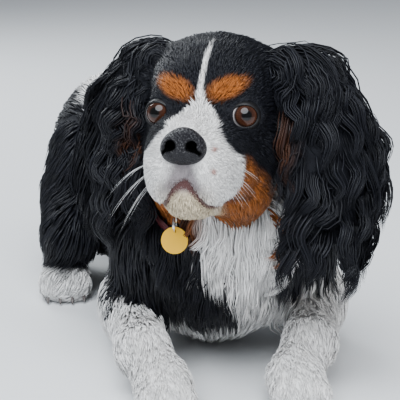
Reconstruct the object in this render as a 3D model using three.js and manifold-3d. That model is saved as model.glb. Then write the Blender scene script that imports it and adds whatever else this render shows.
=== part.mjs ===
// A cavalier king charles spaniel lying down with its head raised, at life size, in millimetres.
// The dog faces -Y, its left side is +X, and the floor is the plane Z = 0.
// The origin is on the floor, in the middle of the small flat that the brisket rests on.
import * as THREE from "three";
import { mergeVertices } from "three/addons/utils/BufferGeometryUtils.js";
import Module from "manifold-3d";

const wasm = await Module();
wasm.setup();

// Driving dimensions of the dog, coat included
const JOINT_GAP = 0.35;
const CHEST = { halfWidth: 76, top: 196, centreY: 12, halfLength: 106 };
const LOIN = { halfWidth: 70, top: 190, x: -22, y: 118 };
const RUMP = { halfWidth: 70, top: 196, x: -56, y: 205 };
const HEAD = { eyes: [-24, -125, 209], yaw: -23.5, pitch: 15, roll: -1.2 };
const SKULL = { halfWidth: 50, top: 63, back: -88 };
const MUZZLE = { length: 49, halfWidth: 32.5, bridge: -8, lips: -65 };
const EYE = { apart: 61, radius: 10.8, outward: 16, orbit: 12.6, depth: 6, opening: 9.3, lid: 1.5 };
const ELBOW = { x: { left: 80, right: -66 }, y: -14, z: 36 };
const PAW = { x: { left: 40, right: -56 }, y: -160, halfWidth: 21, height: 36 };
const THIGH = { x: 49, y: 184, z: 84 };
const TAIL = { plume: 46, root: 12, tip: 6 };
const TAG = { radius: 9.8, thickness: 1.4, centre: [-44.5, -126, 118], hole: 1.7, ring: 5.5 };
const COLLAR = { centre: [-16, -78, 141], across: 42, down: 46, width: 9, thickness: 2.4 };

const vec = (x, y, z) => new THREE.Vector3(x, y, z);
const SIDES = { left: 1, right: -1 };

// A repeatable draw between 0 and 1, for the small differences between like pieces
function drawer(seed) {
  let state = seed;
  return () => {
    state = (state * 1664525 + 1013904223) % 4294967296;
    return state / 4294967296;
  };
}

// The head has axes of its own: forward to the nose, left to the dog's left, up to the crown
function headAxes() {
  const turn = THREE.MathUtils.degToRad(HEAD.yaw);
  const lift = THREE.MathUtils.degToRad(HEAD.pitch);
  const lean = THREE.MathUtils.degToRad(-HEAD.roll);
  const forward = vec(Math.sin(turn) * Math.cos(lift), -Math.cos(turn) * Math.cos(lift), Math.sin(lift));
  const level = vec(0, 0, 1).cross(forward).normalize();
  const left = level.applyAxisAngle(forward, lean);
  const up = forward.clone().cross(left);
  return { forward, left, up, origin: vec(...HEAD.eyes) };
}
const HEAD_AXES = headAxes();
const BODY_AXES = { forward: vec(1, 0, 0), left: vec(0, 1, 0), up: vec(0, 0, 1), origin: vec(0, 0, 0) };

// A point given along a set of axes
function place(axes, [a, b, c]) {
  return axes.origin
    .clone()
    .addScaledVector(axes.forward, a)
    .addScaledVector(axes.left, b)
    .addScaledVector(axes.up, c);
}
const onHead = (forward, left, up) => place(HEAD_AXES, [forward, left, up]);

// Forms are functions that give the distance from a point to a surface, below zero inside
function lump(axes, centre, size) {
  const middle = place(axes, centre);
  return (p) => {
    const d = p.clone().sub(middle);
    const a = d.dot(axes.forward);
    const b = d.dot(axes.left);
    const c = d.dot(axes.up);
    const near = Math.hypot(a / size[0], b / size[1], c / size[2]);
    const slope = Math.hypot(a / size[0] ** 2, b / size[1] ** 2, c / size[2] ** 2);
    return slope < 1e-9 ? -Math.min(...size) : (near * (near - 1)) / slope;
  };
}
const bodyLump = (centre, size) => lump(BODY_AXES, centre, size);
const headLump = (centre, size) => lump(HEAD_AXES, centre, size);

// A limb is a straight length that swells or tapers from one radius to the other
function limb(start, end, startRadius, endRadius) {
  const along = end.clone().sub(start);
  const length2 = along.lengthSq();
  return (p) => {
    const t = THREE.MathUtils.clamp(p.clone().sub(start).dot(along) / length2, 0, 1);
    const near = start.clone().addScaledVector(along, t);
    return p.distanceTo(near) - THREE.MathUtils.lerp(startRadius, endRadius, t);
  };
}

// Several forms run together over a soft seam
function blend(softness, forms) {
  return (p) => {
    let sum = forms[0](p);
    for (const form of forms.slice(1)) {
      const next = form(p);
      const h = Math.max(softness - Math.abs(sum - next), 0) / softness;
      sum = Math.min(sum, next) - (h * h * softness) / 4;
    }
    return sum;
  };
}

function outward(form, p) {
  const e = 0.5;
  const slope = (v) => form(p.clone().add(v)) - form(p.clone().sub(v));
  return vec(slope(vec(e, 0, 0)), slope(vec(0, e, 0)), slope(vec(0, 0, e))).normalize();
}

// The outermost point of a form along a ray
function surfacePoint(form, from, direction, reach = 190, grow = 0) {
  let t = reach;
  for (let step = 0; step < 200 && t > 0; step++) {
    const d = form(from.clone().addScaledVector(direction, t)) - grow;
    if (d < 0.01) break;
    t -= Math.max(d * 0.7, 0.01);
  }
  return from.clone().addScaledVector(direction, Math.max(t, 0.5));
}

// A closed mesh from rings of points and a point at each end
function meshOfRings(rings, first, last) {
  const sides = rings[0].length;
  const points = [first, ...rings.flat(), last];
  const faces = [];
  const at = (ring, side) => 1 + ring * sides + (side % sides);
  for (let s = 0; s < sides; s++) {
    faces.push(0, at(0, s + 1), at(0, s));
    faces.push(points.length - 1, at(rings.length - 1, s), at(rings.length - 1, s + 1));
    for (let r = 0; r + 1 < rings.length; r++) {
      faces.push(at(r, s), at(r, s + 1), at(r + 1, s));
      faces.push(at(r, s + 1), at(r + 1, s + 1), at(r + 1, s));
    }
  }
  const geometry = new THREE.BufferGeometry().setFromPoints(points);
  geometry.setIndex(faces);
  return geometry;
}

// A closed mesh from loops set round a larger loop
function meshOfLoops(loops) {
  const sides = loops[0].length;
  const at = (loop, side) => (loop % loops.length) * sides + (side % sides);
  const faces = [];
  for (let r = 0; r < loops.length; r++) {
    for (let s = 0; s < sides; s++) {
      faces.push(at(r, s), at(r, s + 1), at(r + 1, s));
      faces.push(at(r, s + 1), at(r + 1, s + 1), at(r + 1, s));
    }
  }
  const geometry = new THREE.BufferGeometry().setFromPoints(loops.flat());
  geometry.setIndex(faces);
  return geometry;
}

// A form's skin: rings round a straight core line, with a dome of rays at each end
function wrap(form, { from, to, rings, sides, domeRings, up = vec(0, 0, 1), grow = 0, spacing }) {
  const axis = to.clone().sub(from).normalize();
  const across = up.clone().cross(axis).normalize();
  const upright = axis.clone().cross(across);
  const ringAt = (centre, tilt) =>
    Array.from({ length: sides }, (_, s) => {
      const angle = (2 * Math.PI * s) / sides;
      const round = across.clone().multiplyScalar(Math.cos(angle)).addScaledVector(upright, Math.sin(angle));
      const ray = round.multiplyScalar(Math.cos(tilt)).addScaledVector(axis, Math.sin(tilt));
      return surfacePoint(form, centre, ray, 190, grow);
    });
  const made = [];
  const domeTilt = (k) => (Math.PI / 2) * (k / (domeRings + 1));
  for (let k = domeRings; k > 0; k--) made.push(ringAt(from, -domeTilt(k)));
  for (let r = 0; r < rings; r++) {
    const share = r / (rings - 1);
    made.push(ringAt(from.clone().lerp(to, spacing ? spacing(share) : share), 0));
  }
  for (let k = 1; k <= domeRings; k++) made.push(ringAt(to, domeTilt(k)));
  const first = surfacePoint(form, from, axis.clone().negate(), 190, grow);
  const last = surfacePoint(form, to, axis, 190, grow);
  return meshOfRings(made, first, last);
}

// A lock of hair: flat, tapered, closed, with its root sunk in and its tip drawn out
const LOCK_STATIONS = 4;
const LOCK_PROFILE = [0.6, 1, 0.95, 0.6];

function lockSolid(centres, normals, width, grow = 0) {
  const rings = LOCK_PROFILE.map((profile, j) => {
    const along = centres[j + 1].clone().sub(centres[Math.max(j - 1, 0)]).normalize();
    const across = along.clone().cross(normals[j]).normalize();
    const face = across.clone().cross(along).normalize();
    const half = (width * profile) / 2 + grow;
    const thick = width * profile * 0.26 + grow;
    return [
      centres[j].clone().addScaledVector(across, half),
      centres[j].clone().addScaledVector(face, -thick),
      centres[j].clone().addScaledVector(across, -half),
      centres[j].clone().addScaledVector(face, thick),
    ];
  });
  const lead = centres[1].clone().sub(centres[0]).normalize();
  const end = centres[LOCK_STATIONS].clone().sub(centres[LOCK_STATIONS - 1]).normalize();
  const first = centres[0].clone().addScaledVector(lead, -1 - grow);
  const last = centres[LOCK_STATIONS].clone().addScaledVector(end, grow * 2);
  return solid(meshOfRings(rings, first, last));
}

// The course of a lock over a form: it follows the lie, rises from its root and waves
function lockOver(form, root, lie, shape, grow = 0) {
  const { length, width, lift, sway = 0, phase = 0, sink = 5, hang = 0 } = shape;
  const centres = [];
  const normals = [];
  let p = root.clone();
  for (let j = 0; j <= LOCK_STATIONS; j++) {
    const t = j / LOCK_STATIONS;
    const out = outward(form, p);
    const along = lie.clone().addScaledVector(out, -lie.dot(out)).normalize();
    const height = j === 0 ? -sink : lift * Math.sin((Math.PI / 2) * t) - hang * t * t;
    const lateral = along.clone().cross(out);
    const centre = p.clone().addScaledVector(out, height - form(p));
    centres.push(centre.clone().addScaledVector(lateral, sway * t * Math.sin(phase + 6 * t)));
    normals.push(out);
    p = centre.addScaledVector(along, length / LOCK_STATIONS);
  }
  return lockSolid(centres, normals, width, grow);
}

// Solids
function solid(geometry) {
  const bare = geometry.clone();
  for (const name of Object.keys(bare.attributes)) {
    if (name !== "position") bare.deleteAttribute(name);
  }
  const merged = mergeVertices(bare, 1e-3);
  const made = new wasm.Manifold(
    new wasm.Mesh({
      numProp: 3,
      vertProperties: merged.attributes.position.array,
      triVerts: new Uint32Array(merged.index.array),
    }),
  );
  return made;
}
const join = (solids) => wasm.Manifold.union(solids);
const cut = (whole, tools) => (tools.length ? whole.subtract(join(tools)) : whole);

function largestPiece(whole) {
  return whole.decompose().reduce((best, piece) => (piece.volume() > best.volume() ? piece : best));
}

function box(low, high) {
  const size = high.clone().sub(low);
  const middle = low.clone().add(high).multiplyScalar(0.5);
  return solid(new THREE.BoxGeometry(...size.toArray()).translate(...middle.toArray()));
}
const FLOOR = box(vec(-600, -600, -200), vec(600, 900, 0));

// The eyes look a little outward from the line of the muzzle
const eyeAt = (side) => onHead(0, (EYE.apart / 2) * side, 0);
const eyeBall = (side, radius) =>
  solid(new THREE.SphereGeometry(radius, 12, 8).translate(...eyeAt(side).toArray()));
const eyeSight = (side) =>
  HEAD_AXES.forward.clone().applyAxisAngle(HEAD_AXES.up, THREE.MathUtils.degToRad(EYE.outward) * side);

// The forms of the body
function torsoForm() {
  const middle = CHEST.top / 2 - 3;
  return blend(34, [
    bodyLump([0, CHEST.centreY, middle], [CHEST.halfWidth, CHEST.halfLength, CHEST.top / 2]),
    bodyLump([6, -56, 100], [58, 48, 66]),
    bodyLump([64, -36, 96], [32, 50, 62]),
    bodyLump([-54, -36, 96], [32, 50, 62]),
    bodyLump([0, 8, 160], [46, 62, 42]),
    bodyLump([LOIN.x, LOIN.y, LOIN.top / 2 + 2], [LOIN.halfWidth, 96, LOIN.top / 2 - 4]),
    bodyLump([RUMP.x, RUMP.y, RUMP.top / 2 + 4], [RUMP.halfWidth, 72, RUMP.top / 2 - 6]),
  ]);
}

function neckForm() {
  return blend(30, [
    limb(vec(0, -20, 130), onHead(-46, 0, -6), 66, 48),
    limb(vec(-6, -64, 108), onHead(-24, 0, -42), 46, 38),
  ]);
}

function headForm() {
  const { halfWidth, top, back } = SKULL;
  const orbits = Object.values(SIDES).map((side) => {
    const middle = eyeAt(side).addScaledVector(eyeSight(side), -EYE.depth);
    return lump({ ...HEAD_AXES, origin: middle }, [0, 0, 0], [EYE.orbit, EYE.orbit, EYE.orbit]);
  });
  const skullMiddle = back + 50;
  const pair = (centre, size) =>
    Object.values(SIDES).map((side) => headLump([centre[0], centre[1] * side, centre[2]], size));
  return blend(12, [
    ...pair([skullMiddle - 2, 16, top - 44], [50, halfWidth - 16, 42]),
    headLump([skullMiddle, 0, top - 44], [50, 30, 44]),
    ...pair([-34, 33, -22], [34, 22, 36]),
    ...pair([-6, 17, 20], [17, 18, 17]),
    ...pair([8, 18, -20], [21, 17, 19]),
    ...pair([0, 24, -36], [24, 15, 22]),
    limb(onHead(0, 0, MUZZLE.bridge - 12), onHead(MUZZLE.length - 14, 0, MUZZLE.bridge - 15), 20, 13.5),
    ...pair([MUZZLE.length - 24, MUZZLE.halfWidth - 17.5, -41], [22, 17, -MUZZLE.lips - 41]),
    ...orbits,
  ]);
}

function jawForm() {
  const sides = Object.values(SIDES).map((side) => limb(onHead(14, 10 * side, -56), onHead(-34, 24 * side, -50), 14, 20));
  return blend(12, [headLump([25, 0, -58], [17, 17, 16]), ...sides]);
}

function noseForm() {
  const tip = MUZZLE.length - 4;
  const wings = Object.values(SIDES).map((side) => headLump([tip - 1, 8.5 * side, -27], [8, 7.5, 8.5]));
  return blend(5, [headLump([tip, 0, -25], [8, 13.5, 13]), ...wings]);
}

function forelegForm(side) {
  const paw = PAW.x[side];
  const elbow = vec(ELBOW.x[side], ELBOW.y, ELBOW.z);
  const wrist = vec((paw + ELBOW.x[side] * 0.35) * 0.85, PAW.y + 42, 32);
  const toes = [-1.5, -0.5, 0.5, 1.5].map((n) =>
    bodyLump([paw + n * 10.5, PAW.y - 22 + 4 * Math.abs(n), 12], [7.5, 14, 13]),
  );
  return blend(10, [
    bodyLump([elbow.x, elbow.y - 6, elbow.z + 2], [24, 40, 38]),
    limb(elbow, wrist, 25, 19),
    limb(wrist, vec(paw, PAW.y + 14, 21), 19, 17),
    bodyLump([paw, PAW.y, PAW.height / 2 - 1], [PAW.halfWidth, 30, PAW.height / 2]),
    ...toes,
  ]);
}

function hindlegForm(side) {
  const shift = RUMP.x * 0.85;
  const at = (x, y, z) => vec(x * SIDES[side] + shift, y, z);
  const toes = [-1.5, -0.5, 0.5, 1.5].map((n) =>
    bodyLump([66 * SIDES[side] + shift + n * 9.5, 112 + 3 * Math.abs(n), 10], [7, 13, 11.5]),
  );
  return blend(14, [
    bodyLump([THIGH.x * SIDES[side] + shift, THIGH.y, THIGH.z], [30, 60, 74]),
    limb(at(56, 168, 84), at(60, 128, 60), 30, 26),
    limb(at(60, 132, 50), at(62, 222, 30), 26, 18),
    limb(at(62, 224, 20), at(66, 150, 17), 17, 16),
    bodyLump([66 * SIDES[side] + shift, 132, 16], [18, 28, 18]),
    ...toes,
  ]);
}

// The tail curves away to the dog's left and lies on the floor
const TAIL_LINE = new THREE.CatmullRomCurve3([
  vec(RUMP.x, 262, 84),
  vec(RUMP.x + 4, 298, 44),
  vec(RUMP.x + 34, 322, 18),
  vec(RUMP.x + 84, 318, 13),
  vec(RUMP.x + 128, 292, 11),
]);
const tailRadius = (share) => THREE.MathUtils.lerp(TAIL.root, TAIL.tip, share);

function tube(line, radius, rings, sides) {
  const made = [];
  const frames = line.computeFrenetFrames(rings - 1);
  for (let r = 0; r < rings; r++) {
    const share = r / (rings - 1);
    const centre = line.getPointAt(share);
    made.push(
      Array.from({ length: sides }, (_, s) => {
        const angle = (2 * Math.PI * s) / sides;
        return centre
          .clone()
          .addScaledVector(frames.normals[r], Math.cos(angle) * radius(share))
          .addScaledVector(frames.binormals[r], Math.sin(angle) * radius(share));
      }),
    );
  }
  const first = line.getPointAt(0).addScaledVector(line.getTangentAt(0), -radius(0) * 0.7);
  const last = line.getPointAt(1).addScaledVector(line.getTangentAt(1), radius(1) * 0.7);
  return meshOfRings(made, first, last);
}

// Each ear hangs from its root beside the crown, along points given on the head's axes
const EAR_POINTS = {
  left: [[-36, 38, 44], [-38, 64, 36], [-38, 84, -8], [-40, 89, -50], [-40, 86, -84]],
  right: [[-36, -36, 46], [-38, -58, 42], [-40, -76, 8], [-42, -80, -28], [-42, -76, -60]],
};
const EAR = { halfWidth: 33, thickness: 17, cup: 0.2, lockRows: 5, lockLength: 54, lockWidth: 19 };
const EAR_LINES = Object.fromEntries(
  Object.entries(EAR_POINTS).map(([side, points]) => [
    side,
    new THREE.CatmullRomCurve3(points.map((point) => onHead(...point))),
  ]),
);

// The place on an ear's line, and its two cross directions: over its width and out of its face
function earSection(side, share) {
  const line = EAR_LINES[side];
  const onLine = Math.min(share, 1);
  const along = line.getTangentAt(onLine);
  const wide = HEAD_AXES.left.clone().multiplyScalar(0.8 * SIDES[side]).addScaledVector(HEAD_AXES.forward, -0.6);
  const width = wide.addScaledVector(along, -wide.dot(along)).normalize();
  const face = along.clone().cross(width).multiplyScalar(SIDES[side]).normalize();
  const centre = line.getPointAt(onLine).addScaledVector(along, (share - onLine) * line.getLength());
  return { centre, along, width, face };
}
const earHalfWidth = (share) => EAR.halfWidth * (0.32 + 0.68 * Math.sin(Math.PI * (0.06 + 0.82 * share)));

// The leather of the ear: thick at its edges and hollow on its inner face
function earCore(side, grow = 0) {
  const rings = 8;
  const around = 10;
  const made = [];
  for (let r = 0; r < rings; r++) {
    const share = r / (rings - 1);
    const { centre, width, face } = earSection(side, share);
    const half = earHalfWidth(share) + grow;
    const thick = EAR.thickness / 2 + grow;
    made.push(
      Array.from({ length: around }, (_, s) => {
        const angle = ((2 * Math.PI * s) / around) * SIDES[side];
        const inner = Math.sin(angle) < -0.1 ? 0.45 : 1;
        const cup = EAR.cup * half * (0.5 - Math.cos(angle) ** 2);
        return centre
          .clone()
          .addScaledVector(width, Math.cos(angle) * half)
          .addScaledVector(face, Math.sin(angle) * thick * inner + cup);
      }),
    );
  }
  const first = earSection(side, 0).centre.addScaledVector(earSection(side, 0).along, -6);
  const last = earSection(side, 1).centre.addScaledVector(earSection(side, 1).along, 8 + grow);
  return solid(meshOfRings(made, first, last));
}

// Wavy locks in rows down the outer face and edges of the ear, the lower ones over its end
function earLocks(side, grow = 0) {
  const draw = drawer(side === "left" ? 11 : 23);
  const locks = [];
  for (let row = 0; row < EAR.lockRows; row++) {
    const from = 0.02 + (0.8 * row) / (EAR.lockRows - 1);
    const across = row < 1 ? 3 : 4;
    for (let k = 0; k < across; k++) {
      const angle = Math.PI * (-0.08 + 1.16 * ((k + 0.3 + 0.4 * draw()) / across));
      const share = from + 0.08 * draw();
      const reach = (EAR.lockLength * (0.85 + 0.35 * draw())) / EAR_LINES[side].getLength();
      const sway = 5 + 4 * draw();
      const phase = 2 * Math.PI * draw();
      const lift = 3 + 7 * draw();
      const centres = [];
      const normals = [];
      for (let j = 0; j <= LOCK_STATIONS; j++) {
        const t = j / LOCK_STATIONS;
        const { centre, along, width, face } = earSection(side, share + reach * t);
        const half = earHalfWidth(Math.min(share, 1)) - 3;
        const out = width.clone().multiplyScalar(Math.cos(angle)).addScaledVector(face, Math.sin(angle));
        const lateral = along.clone().cross(out);
        const high = -4 + (lift + 5) * Math.sin(Math.PI * (0.12 + 0.62 * t));
        const p = centre
          .addScaledVector(width, Math.cos(angle) * half)
          .addScaledVector(face, Math.sin(angle) * (EAR.thickness / 2 - 1))
          .addScaledVector(out, j === 0 ? -2 : high)
          .addScaledVector(lateral, sway * t * Math.sin(phase + 7 * t));
        centres.push(p);
        normals.push(out);
      }
      locks.push(lockSolid(centres, normals, EAR.lockWidth * (0.8 + 0.4 * draw()), grow));
    }
  }
  return locks;
}

// The collar is a flat band round the neck; its ring hangs from a small staple and holds the tag
const COLLAR_AXES = (() => {
  const upright = vec(-0.15, -0.62, 0.77).normalize();
  const right = vec(-1, 0, 0).addScaledVector(upright, upright.x).normalize();
  return { upright, right, down: upright.clone().cross(right) };
})();
const HOLD_ANGLE = 0.62;

function collarPoint(angle, outwardBy, upBy) {
  const { upright, right, down } = COLLAR_AXES;
  return vec(...COLLAR.centre)
    .addScaledVector(down, Math.cos(angle) * (COLLAR.down + outwardBy))
    .addScaledVector(right, Math.sin(angle) * (COLLAR.across + outwardBy))
    .addScaledVector(upright, upBy);
}

function collarBand(grow = 0) {
  const segments = 24;
  const outer = COLLAR.thickness / 2 + grow;
  const half = COLLAR.width / 2 + grow;
  const corners = [[outer, -half], [outer, half], [-outer, half], [-outer, -half]];
  const loops = Array.from({ length: segments }, (_, k) => {
    const angle = (2 * Math.PI * k) / segments;
    return corners.map(([outwardBy, upBy]) => collarPoint(angle, outwardBy, upBy));
  });
  return solid(meshOfLoops(loops));
}

function hoop(centre, normal, radius, wire, grow = 0) {
  const turn = new THREE.Quaternion().setFromUnitVectors(vec(0, 0, 1), normal.clone().normalize());
  const shape = new THREE.TorusGeometry(radius, wire + grow, 5, 14).applyQuaternion(turn);
  return solid(shape.translate(...centre.toArray()));
}

const TAG_FACING = vec(-0.3, -0.93, 0.18).normalize();
const HOLD = (() => {
  const on = collarPoint(HOLD_ANGLE, COLLAR.thickness / 2, 0);
  const out = on.clone().sub(collarPoint(HOLD_ANGLE, COLLAR.thickness / 2 - 1, 0));
  const tagTop = vec(...TAG.centre).add(vec(0, 0, TAG.radius - TAG.hole - 1.6));
  return { on, out, tagTop };
})();

function tagDisc(grow = 0) {
  const turn = new THREE.Quaternion().setFromUnitVectors(vec(0, 1, 0), TAG_FACING);
  const disc = new THREE.CylinderGeometry(TAG.radius + grow, TAG.radius + grow, TAG.thickness + 2 * grow, 24);
  return solid(disc.applyQuaternion(turn).translate(...TAG.centre));
}

const collarStaple = (grow = 0) =>
  hoop(HOLD.on.clone().addScaledVector(HOLD.out, 1.5), COLLAR_AXES.upright, 3.4, 0.9, grow);

function tagRing(grow = 0) {
  const normal = TAG_FACING.clone().cross(vec(0, 0, 1));
  const middle = HOLD.tagTop.clone().add(vec(0, 0, TAG.ring)).addScaledVector(TAG_FACING, -TAG.ring * 0.3);
  return hoop(middle, normal, TAG.ring, 0.8, grow);
}

// Plain solids of the named parts
const headWrap = (grow = 0) =>
  wrap(headForm(), {
    from: onHead(-46, 0, 2),
    to: onHead(26, 0, -26),
    rings: 11,
    sides: 22,
    domeRings: 5,
    up: HEAD_AXES.up,
    grow,
  });
const jawWrap = (grow = 0) =>
  wrap(jawForm(), {
    from: onHead(-20, 0, -52),
    to: onHead(22, 0, -58),
    rings: 5,
    sides: 12,
    domeRings: 3,
    up: HEAD_AXES.up,
    grow,
  });
const noseWrap = (grow = 0) =>
  wrap(noseForm(), {
    from: onHead(MUZZLE.length - 7, -6, -24),
    to: onHead(MUZZLE.length - 7, 6, -24),
    rings: 3,
    sides: 12,
    domeRings: 3,
    up: HEAD_AXES.up,
    grow,
  });
const neckWrap = (grow = 0) =>
  wrap(neckForm(), {
    from: vec(-2, -22, 120),
    to: onHead(-40, 0, -20),
    rings: 6,
    sides: 16,
    domeRings: 2,
    up: vec(0, -1, 0.3),
    grow,
  });
const torsoWrap = (grow = 0) =>
  wrap(torsoForm(), {
    from: vec(4, -40, 96),
    to: vec(RUMP.x, 214, 96),
    rings: 11,
    sides: 20,
    domeRings: 3,
    grow,
  });
const forelegWrap = (side, grow = 0) =>
  wrap(forelegForm(side), {
    from: vec(ELBOW.x[side], ELBOW.y - 6, 34),
    to: vec(PAW.x[side], PAW.y - 8, 17),
    rings: 8,
    sides: 12,
    domeRings: 3,
    grow,
  });
const hindlegWrap = (side, grow = 0) =>
  wrap(hindlegForm(side), {
    from: vec(54 * SIDES[side] + RUMP.x * 0.85, 200, 74),
    to: vec(62 * SIDES[side] + RUMP.x * 0.85, 134, 40),
    rings: 6,
    sides: 12,
    domeRings: 3,
    grow,
  });

// Rows of locks over a form; each row is a list of roots with a lie, and a shape they share
function locksOver(form, seed, rows, grow = 0) {
  const draw = drawer(seed);
  return rows.flatMap(({ roots, shape }) =>
    roots.map(({ root, lie }) => {
      const own = {
        ...shape,
        length: shape.length * (0.85 + 0.3 * draw()),
        width: shape.width * (0.8 + 0.4 * draw()),
        lift: shape.lift * (0.7 + 0.6 * draw()),
        phase: 2 * Math.PI * draw(),
      };
      return lockOver(form, root, lie, own, grow);
    }),
  );
}

// Roots in a fan round an upright line
function fanOfRoots(form, centre, count, fromAngle, toAngle, lie) {
  return Array.from({ length: count }, (_, k) => {
    const angle = THREE.MathUtils.degToRad(THREE.MathUtils.lerp(fromAngle, toAngle, k / (count - 1)));
    const ray = vec(Math.sin(angle), -Math.cos(angle), 0);
    return { root: surfacePoint(form, centre, ray), lie: lie(ray) };
  });
}
const down = (out, back = 0) => (ray) => ray.clone().multiplyScalar(out).add(vec(0, back, -1));

const chestForm = blend(24, [neckForm(), torsoForm()]);
const bodyForm = blend(14, [torsoForm(), ...Object.keys(SIDES).flatMap((side) => [forelegForm(side), hindlegForm(side)])]);

function neckLocks(grow) {
  const torso = torsoForm();
  const clearOfTag = (p) => Math.abs(p.x - TAG.centre[0]) > TAG.radius || p.z < TAG.centre[2];
  const bib = (z, count, from, to) =>
    fanOfRoots(chestForm, vec(-2, -52, z), count, from, to, down(0.1)).filter(
      ({ root }) => torso(root) > -4 && clearOfTag(root),
    );
  const rows = [
    { roots: bib(146, 7, -80, 80), shape: { length: 46, width: 23, lift: 6, sway: 4 } },
    { roots: bib(122, 6, -56, 62), shape: { length: 48, width: 22, lift: 7, sway: 5 } },
    { roots: bib(100, 4, -24, 36), shape: { length: 34, width: 20, lift: 8, sway: 4 } },
  ];
  return locksOver(chestForm, 5, rows, grow);
}

function torsoLocks(grow) {
  const rows = Object.values(SIDES).flatMap((side) => {
    const flank = Array.from({ length: 5 }, (_, k) => {
      const y = 34 + 24 * k;
      const spine = THREE.MathUtils.lerp(0, RUMP.x, k / 6);
      const root = surfacePoint(torsoForm(), vec(spine, y, 62), vec(side, 0, 0));
      return { root, lie: vec(0.1 * side, 0.45, -1) };
    });
    const shoulder = fanOfRoots(bodyForm, vec(0, -30, 116), 3, side * 32, side * 92, down(0.05));
    return [
      { roots: flank, shape: { length: 48, width: 24, lift: 5, sway: 4 } },
      { roots: shoulder, shape: { length: 46, width: 22, lift: 4, sway: 4 } },
    ];
  });
  return locksOver(bodyForm, 7, rows, grow);
}

function forelegLocks(side, grow) {
  const form = forelegForm(side);
  const elbow = vec(ELBOW.x[side], ELBOW.y, ELBOW.z);
  const paw = vec(PAW.x[side], PAW.y, 22);
  const outer = Array.from({ length: 4 }, (_, k) => {
    const centre = elbow.clone().lerp(paw, 0.02 + 0.17 * k);
    const root = surfacePoint(form, centre, vec(SIDES[side], 0, 0.15));
    return { root, lie: vec(0.2 * SIDES[side], 0.9 - 0.35 * k, -0.75) };
  });
  const behind = Array.from({ length: 2 }, (_, k) => {
    const root = surfacePoint(form, elbow, vec(SIDES[side] * (0.6 - 0.5 * k), 1, 0.2));
    return { root, lie: vec(0.2 * SIDES[side], 0.8, -0.7) };
  });
  const rows = [
    { roots: outer, shape: { length: 36, width: 18, lift: 6, sway: 3 } },
    { roots: behind, shape: { length: 38, width: 19, lift: 6, sway: 4 } },
  ];
  return locksOver(form, SIDES[side] + 31, rows, grow);
}

function hindlegLocks(side, grow) {
  const form = hindlegForm(side);
  const shift = RUMP.x * 0.85;
  const rows = [92, 54].map((z, row) => ({
    roots: Array.from({ length: 3 }, (_, k) => {
      const ray = vec(SIDES[side] * (0.9 - 0.5 * k), 1, 0);
      const root = surfacePoint(form, vec(THIGH.x * SIDES[side] + shift, THIGH.y + 6, z), ray);
      return { root, lie: vec(0.1 * SIDES[side], 0.3, -1) };
    }),
    shape: { length: 46 - 8 * row, width: 24, lift: 6, sway: 4 },
  }));
  return locksOver(form, SIDES[side] + 41, rows, grow);
}

// The plume: locks leave both sides of the tail and sweep toward its tip
function tailLocks(grow) {
  const draw = drawer(3);
  const locks = [];
  const count = 12;
  for (let k = 0; k < count; k++) {
    const share = 0.1 + (0.86 * k) / (count - 1);
    const side = k % 2 === 0 ? 1 : -1;
    const along = TAIL_LINE.getTangentAt(share);
    const out = vec(0, 0, 1).cross(along).multiplyScalar(side).addScaledVector(vec(0, 0, 1), 0.15 + 0.3 * draw());
    out.normalize();
    const root = TAIL_LINE.getPointAt(share);
    const length = TAIL.plume * (0.8 + 0.4 * draw());
    const centres = [];
    const normals = [];
    for (let j = 0; j <= LOCK_STATIONS; j++) {
      const t = j / LOCK_STATIONS;
      const p = root
        .clone()
        .addScaledVector(out, tailRadius(share) * 0.5 + length * 0.5 * t * (1 - 0.3 * t))
        .addScaledVector(along, length * (0.25 * t + 0.6 * t * t));
      p.z = Math.max(p.z - 6 * t, 3.5);
      centres.push(p);
      normals.push(vec(0, 0, 1));
    }
    locks.push(lockSolid(centres, normals, 16, grow));
  }
  return locks;
}

// The rims of the lids, the nostrils and the groove under the nose
function lidRing(side) {
  const turn = new THREE.Quaternion().setFromUnitVectors(vec(0, 0, 1), eyeSight(side));
  const centre = eyeAt(side).addScaledVector(eyeSight(side), Math.sqrt(EYE.radius ** 2 - EYE.opening ** 2) + 0.4);
  const rim = new THREE.TorusGeometry(EYE.opening, EYE.lid, 6, 16).applyQuaternion(turn);
  return solid(rim.translate(...centre.toArray()));
}

function nostril(side) {
  const inner = onHead(MUZZLE.length - 6, 9.5 * side, -26);
  const mouth = onHead(MUZZLE.length + 6, 5.6 * side, -27.5);
  const turn = new THREE.Quaternion().setFromUnitVectors(vec(0, 1, 0), mouth.clone().sub(inner).normalize());
  const hole = new THREE.CapsuleGeometry(2.9, 12, 3, 8).applyQuaternion(turn);
  return solid(hole.translate(...inner.lerp(mouth, 0.5).toArray()));
}

function lipGroove() {
  const turn = new THREE.Quaternion().setFromRotationMatrix(
    new THREE.Matrix4().makeBasis(HEAD_AXES.forward, HEAD_AXES.left, HEAD_AXES.up),
  );
  const groove = new THREE.BoxGeometry(8, 1.2, 14).applyQuaternion(turn);
  return solid(groove.translate(...onHead(MUZZLE.length - 3, 0, -42).toArray()));
}

function headCore(grow) {
  const lids = Object.values(SIDES).map((side) => lidRing(side));
  const whole = join([solid(headWrap(grow)), ...lids]);
  return grow ? whole : cut(whole, [lipGroove()]);
}

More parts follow.
